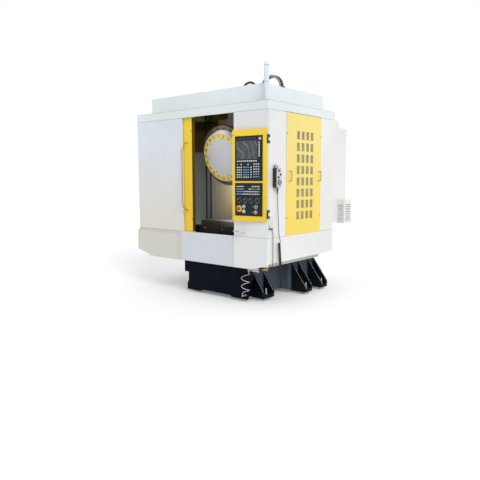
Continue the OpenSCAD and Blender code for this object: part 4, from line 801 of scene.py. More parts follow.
def around(middle, radius, degrees):
    """A point in metres on a coil's circle."""
    a = math.radians(degrees)
    return Vector(middle) + radius * Vector((math.cos(a), math.sin(a), 0))


def helix(top, bottom, radius, start, end, per_turn=16):
    """Points of a coil in metres between two angles in degrees, without its two end points."""
    count = round(abs(end - start) / 360 * per_turn)
    shares = [i / count for i in range(1, count)]
    return [around(Vector(top).lerp(Vector(bottom), s), radius, start + (end - start) * s) for s in shares]


def hang_cord(name, points, diameter, finish, slot, lay, *solids):
    """It leaves the machine at its first point and goes back in at its last."""
    data = bpy.data.curves.new(name, "CURVE")
    data.dimensions = "3D"
    data.bevel_depth = diameter / 2
    data.bevel_resolution = 3
    data.use_fill_caps = True
    data.resolution_u = 3
    line = data.splines.new("NURBS")
    line.points.add(len(points) - 1)
    for point, place in zip(line.points, points):
        point.co = (*(Vector(place) + ZERO), 1)
    line.order_u = 4
    line.use_endpoint_u = True
    data.materials.append(finish_named(finish))
    cord = placed(name, data)
    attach(cord, "machine")
    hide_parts(*solids)


class MachineSizes(bpy.types.PropertyGroup):
    """Sizes that a user would change."""

    lens: bpy.props.FloatProperty(
        name="Lens", description="Focal length of the photograph's camera", default=38.28, min=20, max=90)
    cord_diameter: bpy.props.FloatProperty(
        name="Cord diameter", description="Thickness of the pendant's cord", default=0.007, min=0.005,
        max=0.009, subtype="DISTANCE", unit="LENGTH")
    curl_radius: bpy.props.FloatProperty(
        name="Curl radius", description="Mean radius of the curly stretch", default=0.011, min=0.009,
        max=0.0115, subtype="DISTANCE", unit="LENGTH")
    curl_pitch: bpy.props.FloatProperty(
        name="Curl pitch", description="Rise of one turn of the curly stretch", default=0.0082, min=0.0075,
        max=0.012, subtype="DISTANCE", unit="LENGTH")
    air_hose_diameter: bpy.props.FloatProperty(
        name="Air hose diameter", description="Thickness of the coiled air hose", default=0.008, min=0.006,
        max=0.0085, subtype="DISTANCE", unit="LENGTH")
    air_turns: bpy.props.FloatProperty(
        name="Air hose turns", description="Turns of the coiled air hose, a half more than a whole number",
        default=2.5, min=1.5, max=9.5)
    air_bend: bpy.props.FloatProperty(
        name="Air hose bend", description="Radius of the bends at the ends of the coiled air hose",
        default=0.034, min=0.03, max=0.04, subtype="DISTANCE", unit="LENGTH")
    ring_inner: bpy.props.FloatProperty(
        name="Ring inner radius", description="Inner radius of the numbered ring, in millimetres",
        default=217, min=200, max=250)
    ring_outer: bpy.props.FloatProperty(
        name="Ring outer radius", description="Outer radius of the numbered ring, in millimetres",
        default=268, min=255, max=271)
    figure_height: bpy.props.FloatProperty(
        name="Figure height", description="Height of the pocket numbers, in millimetres",
        default=44, min=20, max=46)
    pockets: bpy.props.IntProperty(
        name="Pockets", description="Number of tool pockets on the ring", default=21, min=14, max=21)
    wire_pitch: bpy.props.FloatProperty(
        name="Wire pitch", description="Distance between wires of the window mesh, in millimetres",
        default=6.0, min=4, max=12)
    key_height: bpy.props.FloatProperty(
        name="Key height", description="Height of the key caps above the units, in millimetres",
        default=2.3, min=1.9, max=3)


class MachineColours(bpy.types.PropertyGroup):
    """Colours of the stage."""

    floor: bpy.props.FloatVectorProperty(
        name="Floor", description="Colour of the studio floor", default=colour("f3f3f2"), size=3, min=0,
        max=1, subtype="COLOR")
    sky: bpy.props.FloatVectorProperty(
        name="Sky", description="Colour of the soft light from all around", default=colour("fbfcff"),
        size=3, min=0, max=1, subtype="COLOR")


# The camera's spot, in millimetres, and its turn about X, Y and Z in degrees
CAMERA_SPOT = (3898, -4136, 1339)
CAMERA_TURN = (83.21, 0.11, 39.65)
SENSOR_WIDTH = 36


class MACHINE_OT_camera(bpy.types.Operator):
    """Adds the camera at the photograph's viewpoint"""

    bl_idname = "machine.camera"
    bl_label = "Photograph's camera"

    def execute(self, context):
        data = bpy.data.cameras.new("photo_camera")
        data.lens = context.scene.machine_sizes.lens
        data.sensor_width = SENSOR_WIDTH
        camera = placed("photo_camera", data)
        camera.location = MACHINE @ Vector(CAMERA_SPOT)
        camera.rotation_euler = [math.radians(degrees) for degrees in CAMERA_TURN]
        context.scene.camera = camera
        return {"FINISHED"}


class MACHINE_OT_pendant_cord(bpy.types.Operator):
    """Hangs the pendant's cord: a straight drop, the curly stretch and the tail into its gland"""

    bl_idname = "machine.pendant_cord"
    bl_label = "Pendant cord"

    def execute(self, context):
        sizes = context.scene.machine_sizes
        turns = round((COIL_TOP[2] - COIL_BOTTOM[2]) / sizes.curl_pitch) + 0.25
        curls = helix(COIL_TOP, COIL_BOTTOM, sizes.curl_radius * CURL_SPREAD, 0, -360 * turns)
        hang_cord("pendant_cord", DROP_ROUTE + curls + TAIL_ROUTE, sizes.cord_diameter, "cord_black",
                  "cable_rubber", "hanging", "pendant_cable", "pendant_coil")
        return {"FINISHED"}


class MACHINE_OT_corner_cord(bpy.types.Operator):
    """Hangs the short cord from the plug under the hood to its gland"""

    bl_idname = "machine.corner_cord"
    bl_label = "Corner cord"

    def execute(self, context):
        hang_cord("corner_cord", CORNER_ROUTE, context.scene.machine_sizes.cord_diameter, "cord_grey",
                  "cable_rubber", "hanging", "corner_cable")
        return {"FINISHED"}


class MACHINE_OT_air_hose(bpy.types.Operator):
    """Winds the coiled air hose between its elbow and the nipple on the base"""

    bl_idname = "machine.air_hose"
    bl_label = "Air hose"

    def execute(self, context):
        sizes = context.scene.machine_sizes
        start = Vector(AIR_TOP)
        end = Vector(AIR_BOTTOM)
        radius = (start.x - end.x) / 2
        axis = Vector(((start.x + end.x) / 2, start.y, 0))
        bend = sizes.air_bend
        lead = []
        for k in range(BEND_STEPS + 1):
            a = math.radians(BEND_DEGREES * k / BEND_STEPS)
            lead.append((math.degrees(bend * (1 - math.cos(a)) / radius), bend * math.sin(a)))
        whole = 360 * sizes.air_turns
        swung, drop = lead[-1]
        top = axis + Vector((0, 0, start.z - drop))
        bottom = axis + Vector((0, 0, end.z + drop))
        points = [around(axis + Vector((0, 0, start.z - d)), radius, turn) for turn, d in lead]
        points += helix(top, bottom, radius, swung, whole - swung, 18)
        points += [around(axis + Vector((0, 0, end.z + d)), radius, whole - turn)
                   for turn, d in reversed(lead)]
        hang_cord("air_hose", points, sizes.air_hose_diameter, "hose_clear", "hose_plastic", "coiled",
                  "air_coil")
        return {"FINISHED"}


FLOOR_HALF = 60  # Metres
FLOOR_LIFT = 0.16  # How much the floor glows where the camera or a mirror sees it
SKY_STRENGTH = 0.80
SUN_STRENGTH = 1.25
SUN_ANGLE = 28  # Degrees across
SUN_FROM = (0.80, -0.42, 0.62)
# Work lamps inside the cabin: name, watts, colour and spot in millimetres; their radius in metres
CABIN_LAMPS = (
    ("cabin_glow_low", 4.6, (1.0, 0.96, 0.9), (-290, 700, 1230)),
    ("cabin_glow_high", 1.1, (1.0, 0.98, 0.96), (20, 190, 2010)),
)
CABIN_LAMP_RADIUS = 0.12
PURE_WHITE = (1, 1, 1, 1)


class MACHINE_OT_stage(bpy.types.Operator):
    """Adds the pale floor, soft light from all around, a soft sun from the right and the cabin's lamps"""

    bl_idname = "machine.stage"
    bl_label = "Stage"

    def execute(self, context):
        colours = context.scene.machine_colours
        bm = bmesh.new()
        bmesh.ops.create_grid(bm, x_segments=1, y_segments=1, size=FLOOR_HALF)
        mesh = bpy.data.meshes.new("floor")
        bm.to_mesh(mesh)
        bm.free()
        floor = placed("floor", mesh)
        mesh.materials.append(self.floor_material(tuple(colours.floor)))
        self.sky(context.scene, tuple(colours.sky))
        lamp = bpy.data.lights.new("soft_sun", "SUN")
        lamp.energy = SUN_STRENGTH
        lamp.angle = math.radians(SUN_ANGLE)
        placed("soft_sun", lamp).rotation_euler = Vector(SUN_FROM).to_track_quat("Z", "Y").to_euler()
        for name, power, rgb, spot in CABIN_LAMPS:
            glow = bpy.data.lights.new(name, "POINT")
            glow.energy = power
            glow.color = rgb
            glow.shadow_soft_size = CABIN_LAMP_RADIUS
            placed(name, glow).location = MACHINE @ Vector(spot)
        context.scene.view_settings.view_transform = "Standard"
        return {"FINISHED"}

    def floor_material(self, rgb):
        """Pale matt floor; the camera and mirrors see it near white, with the shadow kept."""
        r = Recipe("floor")
        r.fixed({"Base Color": (*rgb, 1), "Roughness": 0.9, "Specular IOR Level": 0.0})
        path = r.node("LightPath", {})
        seen = r.calc("MAXIMUM", path["Is Camera Ray"], path["Is Glossy Ray"])
        lift = r.node("Emission", {"Color": PURE_WHITE, "Strength": r.calc("MULTIPLY", seen, FLOOR_LIFT)})
        both = r.node("AddShader", {0: r.shader.outputs["BSDF"], 1: lift["Emission"]})
        out = next(n for n in r.tree.nodes if n.type == "OUTPUT_MATERIAL")
        r.tree.links.new(both["Shader"], out.inputs["Surface"])
        return r.material

    def sky(self, scene, rgb):
        """Even light, seen as white by the camera, by mirrors and through glass."""
        world = bpy.data.worlds.new("studio")
        scene.world = world
        world.use_nodes = True
        tree = world.node_tree
        light = next(n for n in tree.nodes if n.type == "BACKGROUND")
        light.inputs["Color"].default_value = (*rgb, 1)
        light.inputs["Strength"].default_value = SKY_STRENGTH
        white = add_node(tree, "Background", {"Color": PURE_WHITE, "Strength": 1.0})
        path = add_node(tree, "LightPath", {})
        seen = path["Is Camera Ray"]
        for ray in ("Is Transmission Ray", "Is Glossy Ray"):
            seen = add_node(tree, "Math", {0: seen, 1: path[ray]}, operation="MAXIMUM")["Value"]
        both = add_node(tree, "MixShader", {"Fac": seen, 1: light.outputs["Background"],
                                            2: white["Background"]})
        out = next(n for n in tree.nodes if n.type == "OUTPUT_WORLD")
        tree.links.new(both["Shader"], out.inputs["Surface"])


class MACHINE_OT_finishes(bpy.types.Operator):
    """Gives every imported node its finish"""

    bl_idname = "machine.finishes"
    bl_label = "Finishes"

    def execute(self, context):
        bare = set(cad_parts) - set(NODE_FINISH)
        if bare:
            raise RuntimeError(f"no finish is named for {sorted(bare)}")
        for name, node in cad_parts.items():
            material = finish_named(NODE_FINISH[name])
            if not node.material_slots:
                node.data.materials.append(material)
            for place in node.material_slots:
                place.material = material
        return {"FINISHED"}


# The ring on the disc: its thickness, that of the figures, and the screws inside it with their first angle
RING_THICK = 0.6
FIGURE_THICK = 0.4
RING_SCREWS = 7
RING_SCREW_ANGLE = -12


class MACHINE_OT_turret_face(bpy.types.Operator):
    """Adds the numbered ring, its figures and the screws on the turret's disc"""

    bl_idname = "machine.turret_face"
    bl_label = "Turret face"

    def execute(self, context):
        sizes = context.scene.machine_sizes
        face = Piece("turret_ring", DISC)
        band = (sizes.ring_inner + sizes.ring_outer) / 2
        face.add(ring(sizes.ring_inner, sizes.ring_outer, RING_THICK, 0.2, 96), "turret_yellow")
        for pocket in range(sizes.pockets):
            place = turned(-360 * pocket / sizes.pockets, "Z") @ shifted(0, band, RING_THICK)
            face.add(lettering(str(pocket + 1), sizes.figure_height, FIGURE_THICK), "figure_ink", place)
        face.screws(5.5, 3.5, "screw_black", (
            turned(360 * k / RING_SCREWS + RING_SCREW_ANGLE, "Z") @ shifted(0, sizes.ring_inner - 9, 0)
            for k in range(RING_SCREWS)))
        face.close("turret", "turret_white")
        return {"FINISHED"}


WHITE, BLUE, TEAL, BEIGE, GREEN, RED, LIME = (
    f"key_{tint}" for tint in ("white", "blue", "teal", "beige", "green", "red", "lime"))
GREY = "panel_grey"
# Key groups: first spot, pitches across and down, seat of one key, and the finish of each key by row
DISPLAY_KEYS = (
    ((302, 33), (1, 1), (33, 30), ((BEIGE,),)),
    ((293, 72), (1, 18.8), (13, 11), ((WHITE,),) * 8),
    ((35, 253), (24.5, 1), (13, 11), ((WHITE,) * 10,)),
    ((32, 287), (46, 1), (19, 16), ((TEAL, WHITE),)),
    ((160, 287), (1, 1), (19, 16), ((WHITE,),)),
    ((30, 316), (24, 25), (19, 16), ((WHITE,) * 3,) * 5),
    ((113, 316), (25, 25), (19, 16), ((BLUE,) * 3,) * 4 + ((WHITE,) * 3,)),
    ((198, 316), (1, 25), (19, 16), ((WHITE,),) * 5),
    ((233, 285), (26.5, 25.5), (19, 16), ((WHITE,) * 3,) * 4 + ((BLUE,) * 3,) * 2),
)
OPERATOR_KEYS = (
    ((27, 36), (18.5, 26), (16, 12), ((WHITE,) * 5, (BLUE,) * 5, (BLUE,) * 5, (BLUE,) * 4 + (WHITE,))),
    ((120, 36), (18.5, 26), (16, 12), ((GREY,) * 5, (GREY,) * 3 + (WHITE,) * 2, (WHITE,) * 5, (WHITE,) * 5)),
    ((214, 36), (19.5, 26), (16, 12), (
        (WHITE,) * 5, (GREEN, GREEN, RED, GREEN, WHITE), (WHITE,) * 4 + (GREEN,), (WHITE,) * 4 + (LIME,))),
)
# On a seat wider than the first number the cap is smaller than the seat by the second
CAP_TRIMS = ((16, 4.4), (15, 2.2), (0, -0.8))
MARKED_SEAT = 15  # Caps on wider seats carry a plain mark
KNOB_X = (50, 125, 197, 269)
KNOB_DOWN = 177
STOP_SPOT = (50, 266)
# Round fronts of the operator unit: spot and inner radius of the bezel
ROUND_FRONTS = ((113, 242, 16.4), (113, 291, 16.4), (260, 244, 15.6), (255, 297, 15.6))


class MACHINE_OT_keys(bpy.types.Operator):
    """Caps every key of both control units"""

    bl_idname = "machine.keys"
    bl_label = "Key caps"

    def execute(self, context):
        tall = context.scene.machine_sizes.key_height
        for name, top, groups in (("display_keys", DISPLAY_TOP, DISPLAY_KEYS),
                                  ("operator_keys", OPERATOR_TOP, OPERATOR_KEYS)):
            caps = Piece(name, WORLD)
            for (x, down), (pitch_x, pitch_z), (w, h), rows in groups:
                trim = next(less for wide, less in CAP_TRIMS if w > wide)
                for j, row in enumerate(rows):
                    for i, finish in enumerate(row):
                        place = on_unit(top, x + i * pitch_x, down + j * pitch_z)
                        caps.add(key_cap(w - trim, h - trim, tall), finish, place)
                        if finish != GREY and w > MARKED_SEAT:
                            self.legend(caps, place, w, tall, (i + j) % 3)
            caps.close("panel", "black_plastic")
        return {"FINISHED"}

    def legend(self, caps, place, w, tall, kind):
        """A plain mark on a cap: a bar, a pair of bars or a small square."""
        bars = (
            ((-w * 0.22, 0.6, w * 0.22, 1.8),),
            ((-w * 0.24, 1.0, w * 0.1, 2.0), (-w * 0.24, -2.0, w * 0.24, -1.2)),
            ((-1.6, -1.2, 1.6, 1.6),),
        )
        for x0, y0, x1, y1 in bars[kind]:
            caps.add(block((x0, y0, tall - 0.2), (x1, y1, tall + 0.12)), "mark_dark", place)


class MACHINE_OT_display(bpy.types.Operator):
    """Adds the screen, its bezel and the screws of both units"""

    bl_idname = "machine.display"
    bl_label = "Display"

    def execute(self, context):
        unit = Piece("screen", WORLD)
        middle = on_unit(DISPLAY_TOP, 143.5, 141)
        unit.add(rounded_plate(253, 184, 2, 1.6, 0.4), "screen", middle @ shifted(0, 0, -2.9))
        for x0, y0, x1, y1 in ((-132, 91, 132, 97), (-132, -97, 132, -91), (-132, -92, -126.5, 92),
                               (126.5, -92, 132, 92)):
            unit.add(block((x0, y0, 0), (x1, y1, 1.6), 0.7), "panel_grey", middle)
        unit.add(rounded_plate(236, 12, 3, 0.5, 0.2), "panel_grey", on_unit(DISPLAY_TOP, 136, 28))
        for top, tall in ((DISPLAY_TOP, DISPLAY_H), (OPERATOR_TOP, OPERATOR_H)):
            unit.screws(3.6, 2.2, "screw_black", (
                on_unit(top, x, down) for down in (8, tall - 8) for x in (8, UNIT_W - 8)))
        unit.close("panel", "black_plastic")
        return {"FINISHED"}


class MACHINE_OT_scales(bpy.types.Operator):
    """Adds the arc scales of the knobs, the stop ring, the bezels and the small bare plates"""

    bl_idname = "machine.scales"
    bl_label = "Scales and rings"

    def execute(self, context):
        marks = Piece("operator_marks", WORLD)
        knobs = [on_unit(OPERATOR_TOP, x, KNOB_DOWN) for x in KNOB_X]
        for middle in knobs:
            for k in range(21):
                tick = block((-0.7, 20.5, 0), (0.7, 23.6 if k % 5 else 25.5, 0.35))
                marks.add(tick, "mark_white", middle @ turned(135 - k * 13.5, "Z"))
            marks.add(rounded_plate(12, 3.4, 1, 0.35), "mark_white", middle @ shifted(0, -25.5, 0))
        stop = [(14, 2), (14, 2.6), (31.5, 2.6), (33.4, 1.8), (33.4, 0), (33.0, 0), (33.0, 2), (14, 2)]
        marks.add(lathe(stop, 64), "yellow_plastic", on_unit(OPERATOR_TOP, *STOP_SPOT))
        for x, down, inner in ROUND_FRONTS:
            marks.add(metal_ring(inner, 20.5, 4.9), "chrome", on_unit(OPERATOR_TOP, x, down))
            marks.add(rounded_plate(14, 5, 1.2, 0.4), "key_grey", on_unit(OPERATOR_TOP, x - 36, down))
        marks.close("panel", "black_plastic")
        for k, middle in enumerate(knobs):
            pointer = Piece(f"knob_pointer_{k + 1}", WORLD)
            pointer.add(block((-0.9, 2, 20.1), (0.9, 13.5, 20.6), 0.15), "mark_white", middle)
            pointer.add(collar(17.05, 17.6, 0.6, 3.9, 0.3), "black_plastic", middle @ shifted(0, 0, 0.2))
            pointer.close(f"knob_{k + 1}", "black_plastic")
        return {"FINISHED"}


class MACHINE_OT_panel_screws(bpy.types.Operator):
    """Adds the screws of the control panel and the access panel, and the trim of shelf and sill. The shelf's
    trim is painted shade: dark rings round its holes and a grey strip on its front edge.
    """

    bl_idname = "machine.panel_screws"
    bl_label = "Panel screws"

    def execute(self, context):
        swinging = Piece("control_panel_screws", WORLD)
        swinging.screws(5, 2.5, "screw_black", (PANEL @ on_face(429, -12, z) for z in (958, 1786)))
        swinging.close("panel", "yellow_paint")
        fixed = Piece("access_panel_screws")
        fixed.screws(6, 3, "screw_black", (on_side(832, y, z) for y in (343, 1002) for z in (929, 1815)))
        fixed.screws(4.5, 2, "zinc", (on_face(-124, 95, 788), on_face(132, 95, 785)))
        # Painted shade: dark rings round the shelf's two holes
        for x in (476, 532):
            fixed.add(ring(13.2, 16.5, 0.5, 0.2, 32), "seal_dark_and_shade", shifted(x, -55, 803))
        # Painted shade: a grey strip on the shelf's front edge, for the shade under its lip
        fixed.add(block((470, -100.4, 797), (538, -99, 802.6), 0.3, 1), "seal_grey_and_shade")
        fixed.close("machine", "yellow_paint")
        return {"FINISHED"}


# The access panel's windows: width and height, columns and rows, first middle and pitches in Y and Z
WINDOW = (54, 87)
WINDOW_GRID = (4, 8)
WINDOW_FIRST = (548, 945)
WINDOW_PITCH = (91, 123)


def wire_places(length, pitch):
    """Places of the wires across a window's side."""
    return [-length / 2 + pitch * (k + 0.5) for k in range(int(length / pitch))]


class MACHINE_OT_window_mesh(bpy.types.Operator):
    """Weaves the wires behind the windows of the access panel and hems the windows"""

    bl_idname = "machine.window_mesh"
    bl_label = "Window mesh"

    def execute(self, context):
        pitch = context.scene.machine_sizes.wire_pitch
        wires = Piece("window_wires")
        hems = Piece("window_hems")
        w, h = WINDOW
        for column in range(WINDOW_GRID[0]):
            for row in range(WINDOW_GRID[1]):
                y = WINDOW_FIRST[0] + WINDOW_PITCH[0] * column
                z = WINDOW_FIRST[1] + WINDOW_PITCH[1] * row
                middle = on_side(829.2, y, z)
                for x in wire_places(w, pitch):
                    wires.add(block((x - 0.7, -h / 2, 0.1), (x + 0.7, h / 2, 0.9)), "mesh_wire", middle)
                for up in wire_places(h, pitch):
                    wires.add(block((-w / 2, up - 0.7, 0.8), (w / 2, up + 0.7, 1.6)), "mesh_wire", middle)
                hems.add(self.hem(w, h), "access_hem", on_side(831.9, y, z))
        wires.close("machine", "mesh_steel")
        hems.close("machine", "yellow_paint")
        return {"FINISHED"}

    def hem(self, w, h):
        """A narrow raised border round a window."""
        bm = rounded_plate(w + 5, h + 5, 3, 0.9, 0.4, 3)
        bmesh.ops.inset_individual(bm, faces=[highest_face(bm)], thickness=2.4, depth=0)
        opening = max((f for f in bm.faces if f.normal.z > 0.9), key=lambda f: f.calc_area())
        back = [f for f in bm.faces if f.normal.z < -0.9]
        bmesh.ops.delete(bm, geom=[opening] + back, context="FACES_ONLY")
        return bm


class MACHINE_OT_seams(bpy.types.Operator):
    """Adds the sealing strips in the joints between the enclosure's sheets"""

    bl_idname = "machine.seams"
    bl_label = "Seams"

    def execute(self, context):
        strips = Piece("enclosure_seams")
        out = 0.5
        half = 1.5
        left, right, rear = WALL_LEFT, WALL_RIGHT, WALL_REAR

        def strip(lo, hi, finish="seal_grey_and_shade"):
            strips.add(block(lo, hi, 0.3, 1), finish)

        def strip_right(y0, z0, y1, z1, finish="seal_grey_and_shade", proud=out):
            strip((right - 1, y0, z0), (right + proud, y1, z1), finish)

        for z in (738, 2030):
            strip((left + 2, -out, z - half), (-390, 1, z + half))
            strip((390, -out, z - half), (right - 2, 1, z + half))
            strip_right(2, z - half, rear - 2, z + half)
            strip((left - out, 2, z - half), (left + 1, rear - 2, z + half))
        strip((left + 2, -out, BAND_TOP), (right - 2, 1, BAND_TOP + 2))
        strip_right(2, BAND_TOP, rear - 2, BAND_TOP + 2)
        strip_right(164, 2032, 166, BAND_TOP)
        strip_right(326, 2030.5, 1019, 2034.5, "seal_dark_and_shade", 1.5)
        for x in (left + 21, right - 21):
            strip((x - half, rear - 1, JOINT_LOW), (x + half, rear + out, JOINT_HIGH))
        strip_right(20 - half, JOINT_LOW, 20 + half, JOINT_HIGH)
        strip((left - out, 20 - half, JOINT_LOW), (left + 1, 20 + half, JOINT_HIGH))
        strip((374 - half, -out, 404), (374 + half, 1, 736))
        for y in (325, 1020):
            strip_right(y - half, JOINT_LOW, y + half, JOINT_HIGH, "seal_dark_and_shade")
        strips.close("machine", "white_paint")
        return {"FINISHED"}


# The door leaf's front plane and right edge, and the window's opening in it: X then Z
LEAF_FACE = 25
LEAF_EDGE = -256
LEAF_WINDOW = (-940, -446, 1010, 1800)


class MACHINE_OT_door_trim(bpy.types.Operator):
    """Adds the seal of the door's window, the bosses of its handle, a dark strip of painted shade on its
    right edge and two screws
    """

    bl_idname = "machine.door_trim"
    bl_label = "Door trim"

    def execute(self, context):
        trim = Piece("door_trim")
        x0, x1, z0, z1 = LEAF_WINDOW
        for a, b, c, d in ((x0 - 8, z0 - 8, x1 + 8, z0 + 6), (x0 - 8, z1 - 6, x1 + 8, z1 + 8),
                           (x0 - 8, z0, x0 + 6, z1), (x1 - 6, z0, x1 + 8, z1)):
            trim.add(block((a, LEAF_FACE - 1.5, b), (c, LEAF_FACE + 1, d), 0.8), "seal_dark_and_shade")
        for z in (988, 1755):
            boss = lathe([(10.2, 0), (18, 0), (18, 3), (14, 6), (10.2, 7), (10.2, 0)])
            trim.add(boss, "yellow_paint", on_face(-326, LEAF_FACE, z))
        # Painted shade: a dark brown strip on the leaf's right edge, standing in for the shaded return of the
        # yellow leaf.
        edge = block((LEAF_EDGE - 1, LEAF_FACE + 1, 745), (LEAF_EDGE + 0.7, LEAF_FACE + 45, 2030), 0.3)
        trim.add(edge, "leaf_edge_shade")
        trim.screws(6, 2.5, "screw_black", (on_face(LEAF_EDGE - 8, LEAF_FACE, z) for z in (889, 1877)))
        trim.close("door", "yellow_paint")
        return {"FINISHED"}


LAMP_FOOT = (781, 40, 2120)


class MACHINE_OT_signal_lamp(bpy.types.Operator):
    """Adds the collars and the foot of the signal lamp"""

    bl_idname = "machine.signal_lamp"
    bl_label = "Signal lamp"

    def execute(self, context):
        lamp = Piece("lamp_collars")
        middle = shifted(*LAMP_FOOT)
        foot = lathe([(14.1, 12), (22, 12), (22, 16), (15.4, 26), (14.1, 26), (14.1, 12)])
        lamp.add(foot, "lamp_body", middle)
        for z in (178, 336):
            lamp.add(collar(24.4, 25.5, z, z + 4, 0.6), "lamp_dark", middle)
        lamp.screws(3, 2, "zinc", (middle @ turned(120 * k, "Z") @ shifted(0, 27, 8) for k in range(3)))
        lamp.close("machine", "lamp_plastic")
        return {"FINISHED"}


# The dial's lines, and the middles of the dial and of the pendant's two knobs: Y and Z
DIAL_LINES = 50
DIAL_SPOT = (122, 1307)
PENDANT_KNOBS = ((104, 1358), (140, 1386))
PENDANT_GRIPS = range(1275, 1430, 9)  # Heights of the ribs on its sides


class MACHINE_OT_pendant_marks(bpy.types.Operator):
    """Adds the dial's graduation, the ticks round the pendant's knobs, its screws and its side grips"""

    bl_idname = "machine.pendant_marks"
    bl_label = "Pendant marks"

    def execute(self, context):
        marks = Piece("pendant_marks")
        dial = on_side(PENDANT_FACE_X, *DIAL_SPOT)
        lines = [dial @ turned(360 / DIAL_LINES * k, "Z") for k in range(DIAL_LINES)]
        for k, place in enumerate(lines):
            marks.add(block((-0.25, 30.2, 0), (0.25, 31.8 if k % 5 else 33.4, 0.22)), "mark_dark", place)
        for y, z in PENDANT_KNOBS:
            knob = on_side(PENDANT_FACE_X, y, z)
            for k in range(5):
                marks.add(block((-0.5, 11, 0), (0.5, 14, 0.22)), "mark_dark", knob @ turned(60 - 30 * k, "Z"))
        for z in PENDANT_GRIPS:
            for y in (78.9, 164.8):
                marks.add(block((842, y, z), (876, y + 1.3, z + 3.4), 0.6), "black_plastic")
        marks.screws(2.6, 1.2, "screw_black", (
            on_side(PENDANT_FACE_X, y, z) for z in (1260, 1443) for y in (88, 157)))
        marks.close("machine", "black_plastic")
        wheel = Piece("dial_graduation")
        for place in lines:
            wheel.add(block((-0.3, 28.6, 1), (0.3, 29.15, 7)), "mark_dark", place)
        wheel.add(metal_ring(20, 24.8, 1.4), "dial_metal", dial @ shifted(0, 0, 12.2))
        wheel.close("pendant_dial", "dial_metal")
        return {"FINISHED"}


# The air unit's depth and the heights of its two bodies, and the cords' glands
AIR_Y = 58
PIPE_Z = 379
FILTER_Z = 409
GLAND_X = 792
GLAND_Z = 470


class MACHINE_OT_air_fittings(bpy.types.Operator):
    """Adds nuts and collars to the air unit and the gland nuts of the cords"""

    bl_idname = "machine.air_fittings"
    bl_label = "Air fittings"

    def execute(self, context):
        unit = Piece("air_fittings")
        along = turned(90, "Y")
        unit.add(hexagon(27, 11), "zinc", shifted(588, AIR_Y, PIPE_Z) @ along)
        for x in (610, 622, 634):
            unit.add(collar(15.05, 15.9, 0, 6, 1), "zinc", shifted(x, AIR_Y, PIPE_Z) @ along)
        unit.add(hexagon(31, 10), "brass", shifted(727, AIR_Y, FILTER_Z) @ along)
        for x in (750, 760, 770):
            band = lathe([(16.05, 0), (17, 1.2), (17, 4), (16.05, 5), (16.05, 0)])
            unit.add(band, "brass", shifted(x, AIR_Y, FILTER_Z) @ along)
        unit.add(hexagon(18, 8), "zinc", shifted(541, AIR_Y, 361))
        unit.add(hexagon(20, 9), "brass", shifted(451, 118, 80) @ turned(90, "X"))
        for y in (72, 214):
            unit.add(hexagon(25, 9, 0.8), "black_plastic", shifted(GLAND_X, y, GLAND_Z + 16))
            gland = lathe([(3.6, 0), (7, 0), (11.6, 6), (11.6, 14), (3.6, 14), (3.6, 0)], 32)
            unit.add(gland, "black_plastic", shifted(GLAND_X, y, GLAND_Z))
        unit.close("machine", "fitting_metal")
        return {"FINISHED"}


# The cabinet door's rear face
CABINET_REAR = 1900


class MACHINE_OT_cabinet_trim(bpy.types.Operator):
    """Adds the locks, and the ring and screws of the switch plate, to the electrical cabinet's door"""

    bl_idname = "machine.cabinet_trim"
    bl_label = "Cabinet trim"

    def execute(self, context):
        trim = Piece("cabinet_trim")
        for z in (1000, 1760):
            lock = shifted(640, CABINET_REAR, z) @ turned(-90, "X")
            barrel = lathe([(0, 0), (14, 0), (14, 3), (12, 4.5), (6, 4.5), (5, 3), (0, 3)])
            trim.add(barrel, "chrome", lock)
            trim.add(block((-1.2, -4.5, 2.6), (1.2, 4.5, 4.9), 0.3), "screw_black", lock)
        plate = shifted(549, CABINET_REAR + 4, 1500) @ turned(-90, "X")
        trim.screws(3, 2, "zinc", (plate @ shifted(x, y, 0) for x in (-31, 31) for y in (-31, 31)))
        band = lathe([(31.4, 0), (35, 0), (35, 0.8), (31.4, 0.8), (31.4, 0)], 48)
        trim.add(band, "yellow_plastic", plate)
        trim.close("cabinet_door", "white_paint")
        return {"FINISHED"}


# Feet: the gussets' root and reach from the middle, their two ends in depth, the heights of their slope
FEET = ((440, 588, 266, 460, 300, 92), (560, 762, 835, 985, 372, 99), (560, 762, 1190, 1333, 372, 99))
GUSSET_T = 14


class MACHINE_OT_gusset_edges(bpy.types.Operator):
    """Adds pale strips on the slopes of the feet's gussets: painted highlights along their edges"""

    bl_idname = "machine.gusset_edges"
    bl_label = "Gusset edges"

    def execute(self, context):
        wear_and_highlight = Piece("gusset_edges")
        for root, reach, y0, y1, top_z, drop_z in FEET:
            run = reach - root
            fall = top_z - drop_z
            slope = turned(math.degrees(math.atan2(fall, run)), "Y")
            for side in (1, -1):
                flip = Matrix.Scale(side, 4, (1, 0, 0))
                for y in (y0, y1 - GUSSET_T):
                    # Each strip is a painted highlight along one gusset's sloping edge.
                    strip = block((2, 0, -1.5), (math.hypot(run, fall) - 2, 3, 0.5), 0.3, 1)
                    wear_and_highlight.add(strip, "edge_highlight", flip @ shifted(root, y, top_z) @ slope)
        bmesh.ops.recalc_face_normals(wear_and_highlight.bm, faces=wear_and_highlight.bm.faces[:])
        wear_and_highlight.close("machine", "fitting_metal")
        return {"FINISHED"}


# Loops above the roof: their middles, how far out their ribs or links stand, how many, and the step and
# first angle in degrees
HOSE_LOOP = ((278, 400, 2300), 99, 48, 3.75, 2)
CHAIN_LOOP = ((584, 400, 2300), 127, 15, 12, 6)


def loop_places(middle, reach, count, step, first):
    """Frames along an upright half circle, from its right end."""
    return [shifted(*middle) @ turned(-(step * k + first), "Y") @ shifted(reach, 0, 0) for k in range(count)]


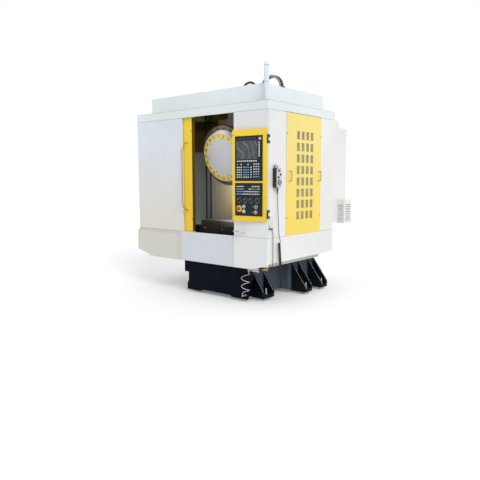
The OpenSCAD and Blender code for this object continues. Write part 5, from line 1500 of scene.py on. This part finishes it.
class MACHINE_OT_roof_loops(bpy.types.Operator):
    """Adds the ribs of the hose and the side plates of the chain above the roof"""

    bl_idname = "machine.roof_loops"
    bl_label = "Roof loops"

    def execute(self, context):
        loops = Piece("loop_ribs")
        for place in loop_places(*HOSE_LOOP):
            loops.add(collar(11.6, 12.9, -1.3, 1.3, 0.5, 20), "loop_grey", place)
        for place in loop_places(*CHAIN_LOOP):
            for y, pin_y, turn in ((-25.4, -25.4, 90), (23.8, 25.4, -90)):
                loops.add(block((-8, y, -11), (8, y + 1.6, 11), 0.6), "chain_plate", place)
                pin = lathe([(0, 0), (4, 0), (4, 1), (0, 1)], 16)
                loops.add(pin, "zinc", place @ shifted(0, pin_y, -12) @ turned(turn, "X"))
        loops.close("machine", "cable_rubber")
        return {"FINISHED"}


# The steps in their order
STEPS = (
    MACHINE_OT_camera, MACHINE_OT_pendant_cord, MACHINE_OT_corner_cord, MACHINE_OT_air_hose, MACHINE_OT_stage,
    MACHINE_OT_finishes, MACHINE_OT_turret_face, MACHINE_OT_keys, MACHINE_OT_display, MACHINE_OT_scales,
    MACHINE_OT_panel_screws, MACHINE_OT_window_mesh, MACHINE_OT_seams, MACHINE_OT_door_trim,
    MACHINE_OT_signal_lamp, MACHINE_OT_pendant_marks, MACHINE_OT_air_fittings, MACHINE_OT_cabinet_trim,
    MACHINE_OT_gusset_edges, MACHINE_OT_roof_loops,
)


class MACHINE_PT_sidebar(bpy.types.Panel):
    """Lists the steps that dress the machine"""

    bl_idname = "MACHINE_PT_sidebar"
    bl_label = "Machining centre"
    bl_space_type = "VIEW_3D"
    bl_region_type = "UI"
    bl_category = "Machining"

    def draw(self, context):
        column = self.layout.column()
        for step in STEPS:
            column.operator(step.bl_idname)
        for group in (context.scene.machine_sizes, context.scene.machine_colours):
            for name in group.bl_rna.properties.keys():
                if name not in ("rna_type", "name"):
                    column.prop(group, name)


CLASSES = (MachineSizes, MachineColours, *STEPS, MACHINE_PT_sidebar)


def register():
    for cls in CLASSES:
        bpy.utils.register_class(cls)
    bpy.types.Scene.machine_sizes = bpy.props.PointerProperty(type=MachineSizes)
    bpy.types.Scene.machine_colours = bpy.props.PointerProperty(type=MachineColours)


def unregister():
    del bpy.types.Scene.machine_colours
    del bpy.types.Scene.machine_sizes
    for cls in reversed(CLASSES):
        bpy.utils.unregister_class(cls)


def main():
    """Runs every step in order."""
    register()
    for step in STEPS:
        getattr(bpy.ops.machine, step.bl_idname.split(".")[1])()


if __name__ == "__main__":
    main()
